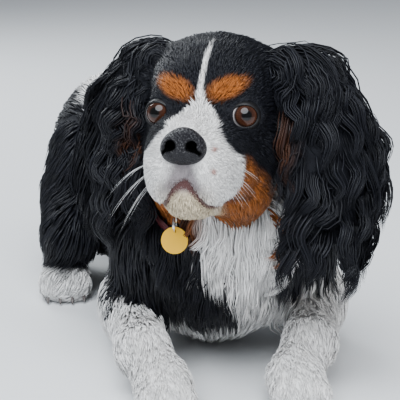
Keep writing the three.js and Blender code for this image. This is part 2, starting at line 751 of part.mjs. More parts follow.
// Every part as a solid that can be asked for a little larger, in the order in which
// each one keeps its whole form and the later ones give way to it
const PARTS = {
  eye_left: (grow) => eyeBall(SIDES.left, EYE.radius + grow),
  eye_right: (grow) => eyeBall(SIDES.right, EYE.radius + grow),
  nose: (grow) => (grow ? solid(noseWrap(grow)) : cut(solid(noseWrap()), [nostril(1), nostril(-1)])),
  tag_ring: tagRing,
  collar: (grow) => join([collarBand(grow), collarStaple(grow)]),
  tag: tagDisc,
  head: headCore,
  lower_jaw: (grow) => solid(jawWrap(grow)),
  foreleg_left: (grow) => join([solid(forelegWrap("left", grow)), ...forelegLocks("left", grow)]),
  foreleg_right: (grow) => join([solid(forelegWrap("right", grow)), ...forelegLocks("right", grow)]),
  hindleg_left: (grow) => join([solid(hindlegWrap("left", grow)), ...hindlegLocks("left", grow)]),
  hindleg_right: (grow) => join([solid(hindlegWrap("right", grow)), ...hindlegLocks("right", grow)]),
  ear_left: (grow) => join([earCore("left", grow), ...earLocks("left", grow)]),
  ear_right: (grow) => join([earCore("right", grow), ...earLocks("right", grow)]),
  torso: (grow) => join([solid(torsoWrap(grow)), ...torsoLocks(grow)]),
  tail: (grow) => join([solid(tube(TAIL_LINE, (share) => tailRadius(share) + grow, 12, 10)), ...tailLocks(grow)]),
  neck: (grow) => join([solid(neckWrap(grow)), ...neckLocks(grow)]),
};

function buildSolids() {
  const made = {};
  const taken = [FLOOR];
  for (const [name, make] of Object.entries(PARTS)) {
    made[name] = cut(make(0), taken);
    taken.push(make(JOINT_GAP));
  }
  return made;
}

const COLOURS = {
  black: { color: 0x15151a, roughness: 0.55, metalness: 0 },
  white: { color: 0xece6dc, roughness: 0.7, metalness: 0 },
  tan: { color: 0x9a5522, roughness: 0.65, metalness: 0 },
  eye: { color: 0x2a120a, roughness: 0.08, metalness: 0 },
  nose: { color: 0x121215, roughness: 0.35, metalness: 0 },
};
const COLOUR_OF = { eye: "eye", nose: "nose", head: "black", lower_jaw: "white", neck: "white" };

const dog = new THREE.Group();
for (const [name, whole] of Object.entries(buildSolids())) {
  const mesh = largestPiece(whole).getMesh();
  const geometry = new THREE.BufferGeometry();
  geometry.setAttribute("position", new THREE.BufferAttribute(mesh.vertProperties, 3));
  geometry.setIndex(new THREE.BufferAttribute(mesh.triVerts, 1));
  const finish = COLOUR_OF[name.split("_")[0]] ?? COLOUR_OF[name] ?? "black";
  const node = new THREE.Mesh(geometry, new THREE.MeshStandardMaterial(COLOURS[finish]));
  node.name = name;
  dog.add(node);
}

export default dog;
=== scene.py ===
"""A cavalier king charles spaniel, lying with its head raised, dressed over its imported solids."""

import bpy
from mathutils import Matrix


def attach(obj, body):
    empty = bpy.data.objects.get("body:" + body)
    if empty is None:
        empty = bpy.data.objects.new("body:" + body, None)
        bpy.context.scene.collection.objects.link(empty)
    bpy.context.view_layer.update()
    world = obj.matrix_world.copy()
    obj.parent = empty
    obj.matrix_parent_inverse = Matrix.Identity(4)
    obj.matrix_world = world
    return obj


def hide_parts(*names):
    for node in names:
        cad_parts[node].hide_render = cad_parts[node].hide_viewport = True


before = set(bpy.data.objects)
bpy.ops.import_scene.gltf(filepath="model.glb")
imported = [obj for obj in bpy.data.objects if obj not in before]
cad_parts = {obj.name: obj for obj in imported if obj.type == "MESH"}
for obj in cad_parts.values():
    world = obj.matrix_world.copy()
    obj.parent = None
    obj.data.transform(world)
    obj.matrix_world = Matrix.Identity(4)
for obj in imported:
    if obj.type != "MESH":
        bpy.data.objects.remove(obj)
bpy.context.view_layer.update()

import math

import bpy
import numpy as np
from bpy.props import FloatProperty, FloatVectorProperty, PointerProperty
from mathutils import Vector

bl_info = {
    "name": "Lying spaniel",
    "version": (1, 0, 0),
    "blender": (4, 5, 0),
    "location": "View3D > Sidebar > Spaniel",
    "description": "Builds the skin, eyes, nose, coat and stage of a lying spaniel",
    "category": "Object",
}

MM = 0.001
SIDES = {"left": 1, "right": -1}
HEAD_PARTS = ["head", "lower_jaw"]
EARS = ["ear_left", "ear_right"]
FORELEGS = ["foreleg_left", "foreleg_right"]
HINDLEGS = ["hindleg_left", "hindleg_right"]
FLESH = [*HEAD_PARTS, "neck", "torso", "tail", *EARS, *FORELEGS, *HINDLEGS]


# Vectors and the head's own axes

def vec(*values):
    return np.array(values, dtype=np.float64)


def unit(v):
    length = np.linalg.norm(v, axis=-1, keepdims=True)
    return v / np.maximum(length, 1e-9)


def head_axes(yaw=-23.5, pitch=15.0, roll=-1.2):
    turn, lift, lean = (math.radians(v) for v in (yaw, pitch, -roll))
    forward = vec(math.sin(turn) * math.cos(lift), -math.cos(turn) * math.cos(lift), math.sin(lift))
    level = unit(np.cross(vec(0, 0, 1), forward))
    left = level * math.cos(lean) + np.cross(forward, level) * math.sin(lean)
    return np.array([forward, left, np.cross(forward, left)])


HEAD = head_axes()
HEAD_AT = vec(-24, -125, 209)
BODY = np.eye(3)


def on_head(forward, left, up):
    return HEAD_AT + vec(forward, left, up) @ HEAD


def to_head(points):
    return (points - HEAD_AT) @ HEAD.T


# Forms: each is a distance function over an array of points, in millimetres

def lump(centre, size, inset=0.0, axes=BODY):
    size = np.asarray(size, dtype=np.float64) - inset

    def distance(p):
        d = (p - centre) @ axes.T / size
        near = np.linalg.norm(d, axis=1)
        slope = np.linalg.norm(d / size, axis=1)
        return near * (near - 1) / np.maximum(slope, 1e-6)
    return distance


def head_lump(centre, size, inset=0.0):
    return lump(on_head(*centre), size, inset, HEAD)


def limb(start, end, start_radius, end_radius, inset=0.0):
    along = end - start
    length2 = along @ along

    def distance(p):
        t = np.clip((p - start) @ along / length2, 0, 1)
        near = start + t[:, None] * along
        radius = start_radius + (end_radius - start_radius) * t - inset
        return np.linalg.norm(p - near, axis=1) - radius
    return distance


def blend(softness, forms):
    def distance(p):
        total = forms[0](p)
        for form in forms[1:]:
            other = form(p)
            h = np.maximum(softness - np.abs(total - other), 0) / softness
            total = np.minimum(total, other) - h * h * softness / 4
        return total
    return distance


def carve(softness, form, tool):
    def distance(p):
        a, b = form(p), -tool(p)
        h = np.maximum(softness - np.abs(a - b), 0) / softness
        return np.maximum(a, b) + h * h * softness / 4
    return distance


CHEST = {"half": 76, "top": 196, "y": 12, "length": 106}
LOIN = {"half": 70, "top": 190, "x": -22, "y": 118}
RUMP = {"half": 70, "top": 196, "x": -56, "y": 205}
SKULL = {"half": 50, "top": 63, "back": -88}
MUZZLE = {"length": 49, "half": 32.5, "bridge": -8, "lips": -65}
EYE = {"apart": 61, "radius": 10.8, "outward": 16, "orbit": 12.2, "depth": 4.4, "opening": 8.5,
       "lids": 12, "gaze": {"left": 21, "right": 9}}
ELBOW = {"x": {"left": 80, "right": -66}, "y": -14, "z": 36}
PAW = {"x": {"left": 40, "right": -56}, "y": -160, "half": 21, "height": 36}
THIGH = {"x": 49, "y": 184, "z": 84}
HIND_SHIFT = RUMP["x"] * 0.85


def torso_form(inset=0.0):
    middle = CHEST["top"] / 2 - 3
    return blend(34, [
        lump(vec(0, CHEST["y"], middle), [CHEST["half"], CHEST["length"], CHEST["top"] / 2], inset),
        lump(vec(6, -56, 100), [58, 48, 66], inset),
        lump(vec(64, -36, 96), [32, 50, 62], inset),
        lump(vec(-54, -36, 96), [32, 50, 62], inset),
        lump(vec(0, 8, 160), [46, 62, 42], inset),
        lump(vec(LOIN["x"], LOIN["y"], LOIN["top"] / 2 + 2), [LOIN["half"], 96, LOIN["top"] / 2 - 4], inset),
        lump(vec(RUMP["x"], RUMP["y"], RUMP["top"] / 2 + 4), [RUMP["half"], 72, RUMP["top"] / 2 - 6], inset),
    ])


def neck_form(inset=0.0):
    return blend(30, [
        limb(vec(0, -20, 130), on_head(-46, 0, -6), 66, 48, inset),
        limb(vec(-6, -64, 108), on_head(-24, 0, -42), 46, 38, inset),
    ])


def eye_at(side):
    return on_head(0, EYE["apart"] / 2 * side, 0)


def eye_sight(side, outward=None):
    angle = math.radians(EYE["outward"] if outward is None else outward) * side
    return HEAD[0] * math.cos(angle) + HEAD[1] * math.sin(angle)


def lid_sight(side):
    """The way the opening between the lids faces."""
    return unit(eye_sight(side, EYE["lids"]) - HEAD[2] * 0.08)


def head_form(skull_inset=0.0, face_inset=0.0):
    middle = SKULL["back"] + 50

    def pair(centre, size, inset):
        return [head_lump((centre[0], centre[1] * s, centre[2]), size, inset) for s in SIDES.values()]
    orbits = [
        lump(eye_at(s) - eye_sight(s) * EYE["depth"], [EYE["orbit"]] * 3)
        for s in SIDES.values()
    ]
    return blend(12, [
        *pair((middle - 2, 16, SKULL["top"] - 44), [50, SKULL["half"] - 16, 42], skull_inset),
        head_lump((middle, 0, SKULL["top"] - 44), [50, 30, 44], skull_inset),
        *pair((-34, 33, -22), [34, 22, 36], skull_inset * 1.6),
        *pair((-6, 17, 20), [17, 18, 17], skull_inset),
        *pair((8, 18, -20), [21, 17, 19], face_inset),
        *pair((0, 24, -36), [24, 15, 22], face_inset * 1.5),
        limb(on_head(0, 0, MUZZLE["bridge"] - 12), on_head(MUZZLE["length"] - 14, 0, MUZZLE["bridge"] - 15),
             20, 13.5, face_inset),
        *pair((MUZZLE["length"] - 24, MUZZLE["half"] - 17.5, -41),
              [22, 17, -MUZZLE["lips"] - 41], face_inset),
        *orbits,
    ])


def jaw_form(inset=0.0):
    sides = [limb(on_head(14, 10 * s, -56), on_head(-34, 24 * s, -50), 14, 20, inset) for s in SIDES.values()]
    return blend(12, [head_lump((25, 0, -58), [17, 17, 16], inset), *sides])


def nose_form():
    tip = MUZZLE["length"] - 4
    wings = [head_lump((tip - 1, 8.5 * s, -27), [8, 7.5, 8.5]) for s in SIDES.values()]
    return blend(5, [head_lump((tip, 0, -25), [8, 13.5, 13]), *wings])


def toes(x, y):
    return [lump(vec(x + n * 10.5, y + 4 * abs(n), 12), [7.5, 14, 13], 2.5) for n in (-1.5, -0.5, 0.5, 1.5)]


def foreleg_form(side, inset=0.0):
    paw = PAW["x"][side]
    elbow = vec(ELBOW["x"][side], ELBOW["y"], ELBOW["z"])
    wrist = vec((paw + ELBOW["x"][side] * 0.35) * 0.85, PAW["y"] + 42, 32)
    leg = blend(16, [
        lump(elbow + vec(0, -6, 2), [24, 40, 38], inset),
        limb(elbow, wrist, 25, 19, inset),
        limb(wrist, vec(paw, PAW["y"] + 14, 21), 19, 17, inset * 0.7),
        lump(vec(paw, PAW["y"], PAW["height"] / 2 - 1), [PAW["half"], 30, PAW["height"] / 2], min(inset, 2)),
    ])
    return blend(5, [leg, *toes(paw, PAW["y"] - 22)])


def hindleg_form(side, inset=0.0):
    s = SIDES[side]

    def at(x, y, z):
        return vec(x * s + HIND_SHIFT, y, z)
    return blend(12, [
        lump(at(THIGH["x"], THIGH["y"], THIGH["z"]), [30, 60, 74], inset),
        limb(at(56, 168, 84), at(60, 128, 60), 30, 26, inset),
        limb(at(60, 132, 50), at(62, 222, 30), 26, 18, inset),
        limb(at(62, 224, 20), at(66, 150, 17), 17, 16, inset * 0.5),
        lump(at(66, 132, 16), [18, 28, 18], 2),
        *toes(66 * s + HIND_SHIFT, 112),
    ])


# Curves through given points

def curve_points(points, count):
    """Points spaced evenly along a smooth line through the given ones."""
    p = np.array(points, dtype=np.float64)
    p = np.vstack([2 * p[0] - p[1], p, 2 * p[-1] - p[-2]])
    fine = []
    for i in range(1, len(p) - 2):
        t = np.linspace(0, 1, 24, endpoint=False)[:, None]
        a, b, c, d = p[i - 1], p[i], p[i + 1], p[i + 2]
        square, cube = 2 * a - 5 * b + 4 * c - d, 3 * b - a - 3 * c + d
        fine.append(0.5 * (2 * b + (c - a) * t + square * t**2 + cube * t**3))
    fine = np.vstack(fine + [p[-2][None]])
    run = np.concatenate([[0], np.cumsum(np.linalg.norm(np.diff(fine, axis=0), axis=1))])
    wanted = np.linspace(0, run[-1], count)
    return np.stack([np.interp(wanted, run, fine[:, k]) for k in range(3)], axis=1)


TAIL_LINE = curve_points([
    (RUMP["x"], 262, 84), (RUMP["x"] + 4, 298, 44), (RUMP["x"] + 34, 322, 18),
    (RUMP["x"] + 84, 318, 13), (RUMP["x"] + 128, 292, 11),
], 40)
EAR_POINTS = {
    "left": [(-36, 38, 44), (-38, 64, 36), (-38, 84, -8), (-40, 89, -50), (-40, 86, -84)],
    "right": [(-36, -36, 46), (-38, -58, 42), (-40, -76, 8), (-42, -80, -28), (-42, -76, -60)],
}
EAR_LINES = {side: curve_points([on_head(*p) for p in points], 40) for side, points in EAR_POINTS.items()}


def chain(points, radius, inset=0.0):
    """A form along a line of points whose radius is given by a function of the share along it."""
    picked = points[:: max(1, len(points) // 8)]
    shares = np.linspace(0, 1, len(picked))
    return blend(6, [
        limb(a, b, radius(s), radius(t), inset)
        for a, b, s, t in zip(picked[:-1], picked[1:], shares[:-1], shares[1:])
    ])


def ear_axes(side, share):
    """Centre, direction, width and face of an ear at shares along its line."""
    line = EAR_LINES[side]
    share = np.atleast_1d(share)
    on = np.clip(share, 0, 1) * (len(line) - 1)
    low = np.minimum(on.astype(int), len(line) - 2)
    part = (on - low)[:, None]
    centre = line[low] * (1 - part) + line[low + 1] * part
    along = unit(line[low + 1] - line[low])
    length = np.linalg.norm(np.diff(line, axis=0), axis=1).sum()
    centre = centre + along * ((share - np.clip(share, 0, 1)) * length)[:, None]
    wide = HEAD[1] * 0.8 * SIDES[side] - HEAD[0] * 0.6
    width = unit(wide - along * (along @ wide)[:, None])
    face = unit(np.cross(along, width)) * SIDES[side]
    return centre, along, width, face


def ear_half_width(share):
    return 33 * (0.32 + 0.68 * np.sin(np.pi * (0.06 + 0.82 * np.clip(share, 0, 1))))


def ear_form(side):
    """The leather of an ear: flat lumps down its line."""
    lumps = []
    for share in np.linspace(0.04, 0.92, 7):
        centre, along, width, face = (v[0] for v in ear_axes(side, share))
        half = float(ear_half_width(share)) * 0.86
        lumps.append(lump(centre, [half, 16, 4.5], 0, np.array([width, along, face])))
    return blend(9, lumps)


# How deep the skin lies under the surface of the coat
UNDER = {"skull": 3.2, "face": 1.2, "jaw": 1.6, "neck": 10, "torso": 7, "foreleg": 5, "hindleg": 6, "tail": 2}
PARTS = {
    "head": head_form(UNDER["skull"], UNDER["face"]),
    "lower_jaw": jaw_form(UNDER["jaw"]),
    "neck": neck_form(UNDER["neck"]),
    "torso": torso_form(UNDER["torso"]),
    "foreleg_left": foreleg_form("left", UNDER["foreleg"]),
    "foreleg_right": foreleg_form("right", UNDER["foreleg"]),
    "hindleg_left": hindleg_form("left", UNDER["hindleg"]),
    "hindleg_right": hindleg_form("right", UNDER["hindleg"]),
    "tail": chain(TAIL_LINE, lambda s: 13 - 7 * s, UNDER["tail"]),
    "ear_left": ear_form("left"),
    "ear_right": ear_form("right"),
}
EYE_BALLS = [lump(eye_at(s), [EYE["radius"]] * 3) for s in SIDES.values()]
OPENINGS = [limb(eye_at(s), eye_at(s) + lid_sight(s) * 18, 8.2, 8.2) for s in SIDES.values()]
NOSE = nose_form()


def hollows(p):
    """What is cut from the skin: the eyes with their openings and the inside of the nose."""
    eyes = np.min([form(p) for form in (*EYE_BALLS, *OPENINGS)], axis=0)
    return np.minimum(eyes, NOSE(p) + 2.0)


MOUTH = blend(2.0, [PARTS[name] for name in HEAD_PARTS])
BODY_FORMS = [form for name, form in PARTS.items() if name not in HEAD_PARTS]
SKIN = carve(1.5, blend(9, [MOUTH] + BODY_FORMS), hollows)


def gradient(form, p, step=0.6):
    d = np.stack([
        form(p + vec(step, 0, 0)) - form(p - vec(step, 0, 0)),
        form(p + vec(0, step, 0)) - form(p - vec(0, step, 0)),
        form(p + vec(0, 0, step)) - form(p - vec(0, 0, step)),
    ], axis=1)
    return unit(d)


def part_of(p):
    names = list(PARTS)
    values = np.stack([PARTS[name](p) for name in names])
    return np.array(names)[values.argmin(axis=0)]


# Meshing a form on a grid

def grid_values(form, xs, ys, zs, block=8):
    """Distances at all grid points; blocks far from the surface take one value."""
    values = np.empty((len(xs), len(ys), len(zs)), dtype=np.float32)
    for i in range(0, len(xs), block):
        for j in range(0, len(ys), block):
            bx, by = xs[i:i + block], ys[j:j + block]
            starts = range(0, len(zs), block)
            centres = np.array([(bx.mean(), by.mean(), zs[k:k + block].mean()) for k in starts])
            rough = form(centres)
            for k, near in zip(starts, rough):
                bz = zs[k:k + block]
                reach = 0.5 * math.dist((bx[0], by[0], bz[0]), (bx[-1], by[-1], bz[-1]))
                if abs(near) > reach * 1.5 + 6:
                    values[i:i + block, j:j + block, k:k + block] = near
                else:
                    grid = np.stack(np.meshgrid(bx, by, bz, indexing="ij"), axis=-1)
                    near = form(grid.reshape(-1, 3)).reshape(grid.shape[:3])
                    values[i:i + block, j:j + block, k:k + block] = near
    return values


def surface_net(values, xs, ys, zs):
    """One vertex in each cell that the surface crosses, and a quad over each crossed edge."""
    inside = values < 0
    corners = [(i, j, k) for i in (0, 1) for j in (0, 1) for k in (0, 1)]
    nx, ny, nz = values.shape
    count = sum(
        inside[i:nx - 1 + i, j:ny - 1 + j, k:nz - 1 + k].astype(np.int8) for i, j, k in corners
    )
    cells = np.argwhere((count > 0) & (count < 8))
    number = np.full((nx - 1, ny - 1, nz - 1), -1, dtype=np.int64)
    number[tuple(cells.T)] = np.arange(len(cells))
    held = {c: values[tuple((cells + np.array(c)).T)].astype(np.float64) for c in corners}
    spot = {
        c: np.stack([xs[cells[:, 0] + c[0]], ys[cells[:, 1] + c[1]], zs[cells[:, 2] + c[2]]], axis=1)
        for c in corners
    }
    total = np.zeros((len(cells), 3))
    hits = np.zeros(len(cells))
    for a in corners:
        for axis in range(3):
            if a[axis] == 1:
                continue
            b = tuple(v + (1 if n == axis else 0) for n, v in enumerate(a))
            crossed = (held[a] < 0) != (held[b] < 0)
            t = np.where(crossed, held[a] / np.where(crossed, held[a] - held[b], 1), 0)
            total += np.where(crossed[:, None], spot[a] + (spot[b] - spot[a]) * t[:, None], 0)
            hits += crossed
    points = total / hits[:, None]
    faces = []
    for axis in range(3):
        shift = np.eye(3, dtype=int)[axis]
        low = inside[:nx - shift[0], :ny - shift[1], :nz - shift[2]]
        high = inside[shift[0]:, shift[1]:, shift[2]:]
        edges = np.argwhere(low != high)
        u, v = [n for n in range(3) if n != axis]
        ok = (edges[:, u] > 0) & (edges[:, v] > 0)
        for n, size in enumerate((nx, ny, nz)):
            ok &= edges[:, n] < size - 1
        edges = edges[ok]
        du, dv = np.eye(3, dtype=int)[u], np.eye(3, dtype=int)[v]
        quad = np.stack([number[tuple((edges - a).T)] for a in (du * 0, du, du + dv, dv)], axis=1)
        flip = low[tuple(edges.T)] == (axis != 1)
        quad[flip] = quad[flip][:, ::-1]
        faces.append(quad)
    faces = np.vstack(faces)
    return points, faces[(faces >= 0).all(axis=1)]


def settle(form, points, rounds):
    """Moves points onto the surface of a form."""
    for _ in range(rounds):
        points = points - gradient(form, points) * form(points)[:, None] * 0.9
    return points


def net_of(form, xs, ys, zs):
    """Points and faces of the surface of a form, from its values on a grid."""
    points, faces = surface_net(grid_values(form, xs, ys, zs), xs, ys, zs)
    return settle(form, points, 2), faces


# Meshes and materials

def mesh_object(name, points, faces, smooth=True):
    data = bpy.data.meshes.new(name)
    data.from_pydata((np.asarray(points) * MM).tolist(), [], [tuple(int(v) for v in face) for face in faces])
    data.validate()
    if smooth:
        data.polygons.foreach_set("use_smooth", [True] * len(data.polygons))
    thing = bpy.data.objects.new(name, data)
    bpy.context.scene.collection.objects.link(thing)
    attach(thing, "root")
    return thing


def fast_mesh(name, points, loops, sizes, smooth=True):
    """A mesh from arrays, for pieces with very many faces."""
    data = bpy.data.meshes.new(name)
    data.vertices.add(len(points))
    data.vertices.foreach_set("co", (points * MM).astype(np.float32).ravel())
    data.loops.add(len(loops))
    data.loops.foreach_set("vertex_index", loops.astype(np.int32))
    data.polygons.add(len(sizes))
    starts = np.concatenate([[0], np.cumsum(sizes)[:-1]]).astype(np.int32)
    data.polygons.foreach_set("loop_start", starts)
    data.polygons.foreach_set("use_smooth", np.full(len(sizes), smooth))
    data.update(calc_edges=True)
    thing = bpy.data.objects.new(name, data)
    bpy.context.scene.collection.objects.link(thing)
    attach(thing, "root")
    return thing


def paint(thing, colours):
    layer = thing.data.color_attributes.new("Coat", "FLOAT_COLOR", "POINT")
    full = np.ones((len(colours), 4), dtype=np.float32)
    full[:, :3] = colours
    layer.data.foreach_set("color", full.ravel())


def material(name, colour=None, roughness=0.5, specular=0.5, bump=None, coat=0.0, sheen=0.0, metallic=0.0):
    """A material of one colour, or of the painted colours where none is given."""
    made = bpy.data.materials.new(name)
    made.use_nodes = True
    nodes, links = made.node_tree.nodes, made.node_tree.links
    shader = nodes["Principled BSDF"]
    shader.inputs["Roughness"].default_value = roughness
    shader.inputs["Specular IOR Level"].default_value = specular
    shader.inputs["Metallic"].default_value = metallic
    shader.inputs["Coat Weight"].default_value = coat
    shader.inputs["Sheen Weight"].default_value = sheen
    if colour is None:
        painted = nodes.new("ShaderNodeVertexColor")
        painted.layer_name = "Coat"
        links.new(painted.outputs["Color"], shader.inputs["Base Color"])
    else:
        shader.inputs["Base Color"].default_value = (*colour, 1)
    if bump:
        place = nodes.new("ShaderNodeTexCoord")
        texture = nodes.new("ShaderNodeTexVoronoi" if bump[0] == "cells" else "ShaderNodeTexNoise")
        texture.inputs["Scale"].default_value = bump[1]
        links.new(place.outputs["Object"], texture.inputs["Vector"])
        relief = nodes.new("ShaderNodeBump")
        relief.inputs["Strength"].default_value = bump[2]
        relief.inputs["Distance"].default_value = bump[3]
        links.new(texture.outputs["Distance" if bump[0] == "cells" else "Fac"], relief.inputs["Height"])
        links.new(relief.outputs["Normal"], shader.inputs["Normal"])
    return made


# Markings: the colour of the coat at any place on the body

def noise(p, scale, seed=0):
    """A soft repeatable unevenness between -1 and 1."""
    total = np.zeros(len(p))
    rng = np.random.default_rng(seed)
    for octave in range(3):
        for _ in range(3):
            way = unit(rng.normal(size=3))
            total += np.sin(p @ way * (2**octave) / scale + rng.uniform(0, 6.28)) / (2**octave)
    return total / 4.0


def soft(value, width):
    """0 below, 1 above, with a soft step of a given width at zero."""
    return np.clip(value / width + 0.5, 0, 1)


def mix(a, b, share):
    return a * (1 - share[:, None]) + b * share[:, None]


def lay(values, part, names, over):
    """Takes other values at the places that belong to the named parts."""
    return np.where(np.isin(part, names)[:, None], over, values)


def under_nose(h):
    """The thin-haired skin between the nose and the mouth."""
    f, l, u = h.T
    narrow = 6 + 0.5 * np.clip(-u - 36, 0, 20)
    return soft(narrow - np.abs(l), 7) * soft(f - 30, 10) * soft(-34 - u, 6) * soft(u + 56, 6)


def lip_share(p, h, width=2.0):
    """How near a place is to the line where the lips meet."""
    gap = np.abs(PARTS["head"](p) - PARTS["lower_jaw"](p))
    return soft(width - gap, 1.8) * soft(h[:, 0] + 2, 14) * soft(-44 - h[:, 2], 6)


# Thin-haired skin, and the blaze and the edges of the bib: heights and how far across at each
RED_MARK = vec(0.36, 0.12, 0.08)
LIP_SKIN = vec(0.16, 0.12, 0.14)
# The line of the lips, on the coat and on the skin under it: lip colour and painted shade in the crease where
# the lips meet
LIP_EDGE_AND_SHADE = vec(0.12, 0.05, 0.045)
LIP_UNDER_AND_SHADE = vec(0.09, 0.04, 0.038)
BLAZE = [-30, -13, -4, 0, 3, 6, 10, 17, 26, 36, 46, 54], [60, 23, 15, 11, 8, 5, 2.4, 1.0, 1.3, 1.7, 1.5, -1]
BIB_LEFT = [70, 88, 102, 118, 140, 170, 200], [10, 10, -4, -18, -30, -36, -44]
BIB_RIGHT = [60, 85, 100, 115, 130, 150, 170, 190], [34, 34, 26, 28, 38, 40, 18, -8]


def coat_colour(p, part, hues):
    """Black, white and tan as on the dog, from a place in the row's frame."""
    black, white, tan, cream = (np.array(hues[k]) for k in ("black", "white", "tan", "cream"))
    h = to_head(p)
    f, l, u = h.T
    x, y, z = p.T
    rough = noise(p, 9, 4)
    out = np.tile(black, (len(p), 1))
    # blaze and muzzle
    half = np.interp(u, *BLAZE)
    middle = np.interp(u, [0, 30, 60], [0, 1.5, 3])
    blaze = soft(half - np.abs(l - middle) + rough * 0.9, 2.2)
    front = soft(f - np.interp(u, [-70, -40, -20, -6], [10, 17, 20, 18]) + rough * 2, 4) * soft(-6 - u, 6)
    front = front * soft(np.interp(u, [-38, -26, -14, -6], [60, 30, 20, 15]) - np.abs(l) + rough * 1.5, 4)
    high = soft(u + 10, 4)
    face_white = np.where(u > -10, blaze * soft(f + 34, 8), front)
    face_white = np.maximum(face_white, front * (1 - high))
    # brows and cheeks
    brow = 1 - np.hypot((np.abs(l) - 18.5 - 0.35 * (u - 17)) / 11, (u - 17 - 0.25 * (np.abs(l) - 20)) / 7.5)
    brow = soft(brow + rough * 0.12, 0.6) * soft(f + 12, 6)
    cheek = soft(-u - 30 - 0.45 * (8 - f) * (f < 8) + rough * 4, 9) * soft(18 - f, 6)
    strand = soft(8 - np.abs(f + 38), 6) * soft(-10 - u, 14) * soft(np.abs(l) - 38, 8)
    face = mix(out, tan, np.maximum(np.maximum(brow, cheek * 0.95), strand * 0.9))
    face = mix(face, white, face_white)
    chin = soft(-u - 52, 10) * soft(f - 4, 8)
    face = mix(face, tan, (part == "lower_jaw") * soft(np.abs(l) - 19, 6) * 0.9)
    chin = chin * soft(20 - np.abs(l), 8)
    face = mix(face, cream, chin * np.where(part == "lower_jaw", 0.9, 0.35))
    # two small red marks, the thin-haired skin under the nose and the lips, whose line is their own colour
    # with painted shade in the crease where they meet
    marks = np.zeros(len(p))
    for mark in ((20, -26), (21.5, -41)):
        marks = np.maximum(marks, soft(1.7 - np.hypot(l - mark[0], u - mark[1]), 1.6) * (f > 10))
    face = mix(face, RED_MARK, marks * 0.8)
    face = mix(face, LIP_SKIN, under_nose(h) * 0.75)
    face = mix(face, LIP_EDGE_AND_SHADE, lip_share(p, h, 1.6) * 0.85)
    out = lay(out, part, HEAD_PARTS, face)
    # ears: brown in the fold under the front edge
    fold = soft(8 - np.abs(u + 14 - 4 * rough), 12) * soft(66 - np.abs(l), 8)
    out = lay(out, part, EARS, mix(black, tan * 0.5, fold * 0.42))
    # neck and chest
    bib_left = np.interp(z, *BIB_LEFT)
    bib_right = np.interp(z, *BIB_RIGHT)
    nape = -38 - 0.75 * np.maximum(z - 110, 0)
    bib = soft(x - bib_left + rough * 4, 6) * soft(bib_right - x + rough * 4, 6) * soft(nape - y, 14)
    low = np.where(x > 8, soft(74 - z + rough * 5, 8), soft(40 - z + rough * 5, 8))
    throat = soft(11 - np.hypot(x + 34, (z - 150) * 0.8), 8) * soft(-60 - y, 10)
    trunk = np.maximum(bib, low * soft(60 - y, 40))
    belly = soft(26 - z + rough * 4, 8)
    patch = soft(1 - np.hypot((x + 68 + 10 * rough) / 22, (y - 186) / 40), 0.4) * soft(z - 120, 20)
    trunk = np.maximum(np.maximum(trunk, belly), patch)
    body = mix(black, white, trunk)
    body = mix(body, tan, throat * 0.8)
    out = lay(out, part, ["neck", "torso"], body)
    # legs and tail
    sock = soft(84 - z + rough * 4, 8)
    foot = soft(30 - z + rough * 5, 8) * soft(214 - y, 16)
    tip = soft(x - RUMP["x"] - 60 + rough * 6, 10)
    for names, white_share in ((FORELEGS, sock), (HINDLEGS, foot), (["tail"], tip)):
        out = lay(out, part, names, mix(black, white, white_share))
    return out


# The lie of the coat and its length, lift and wave

def lie_of(p, n, part):
    h = to_head(p)
    f, l, u = h.T
    x, y, z = p.T
    way = np.zeros_like(p)
    side = np.sign(l)[:, None]
    # head
    up_share = np.clip((u + 8) / 24, 0, 1)[:, None]
    down_share = np.clip((-u - 6) / 20, 0, 1)[:, None]
    face = -HEAD[0] + HEAD[2] * 0.9 * up_share * np.clip((f + 30) / 30, 0, 1)[:, None]
    face = face - HEAD[2] * 0.9 * down_share + HEAD[1] * side * 0.45 * np.clip(np.abs(l) / 22, 0, 1)[:, None]
    under = np.clip((-u - 52) / 10, 0, 1)[:, None]
    face = face - HEAD[2] * 0.6 * under
    way = lay(way, part, HEAD_PARTS, face)
    # neck and trunk
    front = np.clip((-y - 10) / 50, 0, 1)
    low = np.clip((150 - z) / 60, 0, 1)
    chest = front * low
    trunk = np.stack([0.15 * np.sign(x) * front, 1 - 1.15 * chest, -0.25 - 0.9 * chest - 0.25 * low], axis=1)
    neck = np.stack([0.1 * np.sign(x), 0.5 * (1 - front), -1 + 0.4 * (1 - front)], axis=1)
    way = lay(way, part, ["torso"], trunk)
    way = lay(way, part, ["neck"], neck)
    # legs: the hair runs down to the paw, on the forearm forward and over the elbow back
    back = np.clip((y + 60) / 50, 0, 1)
    leg = np.stack([0.3 * np.sign(x) * back, -1 + 1.3 * back, -0.35 - 0.8 * back], axis=1)
    way = lay(way, part, FORELEGS, leg)
    foot = np.clip((40 - z) / 20, 0, 1)
    thigh = np.stack([0.45 * np.sign(x - HIND_SHIFT), 0.15 - 1.0 * foot, -1 + 0.6 * foot], axis=1)
    way = lay(way, part, HINDLEGS, thigh)
    # tail and ears follow their lines
    lines = {"tail": TAIL_LINE, "ear_left": EAR_LINES["left"], "ear_right": EAR_LINES["right"]}
    for name, line in lines.items():
        mask = part == name
        if mask.any():
            near = ((p[mask][:, None] - line[None, :-1]) ** 2).sum(axis=2).argmin(axis=1)
            along = unit(np.diff(line, axis=0))[near]
            way[mask] = along + (n[mask] * 0.5 if name == "tail" else 0)
    way = way - n * (way * n).sum(axis=1)[:, None]
    return unit(way + 1e-6)


def near_eyes(p):
    """Distance to the nearer eye."""
    return np.minimum(*(np.linalg.norm(p - eye_at(s), axis=1) for s in SIDES.values()))


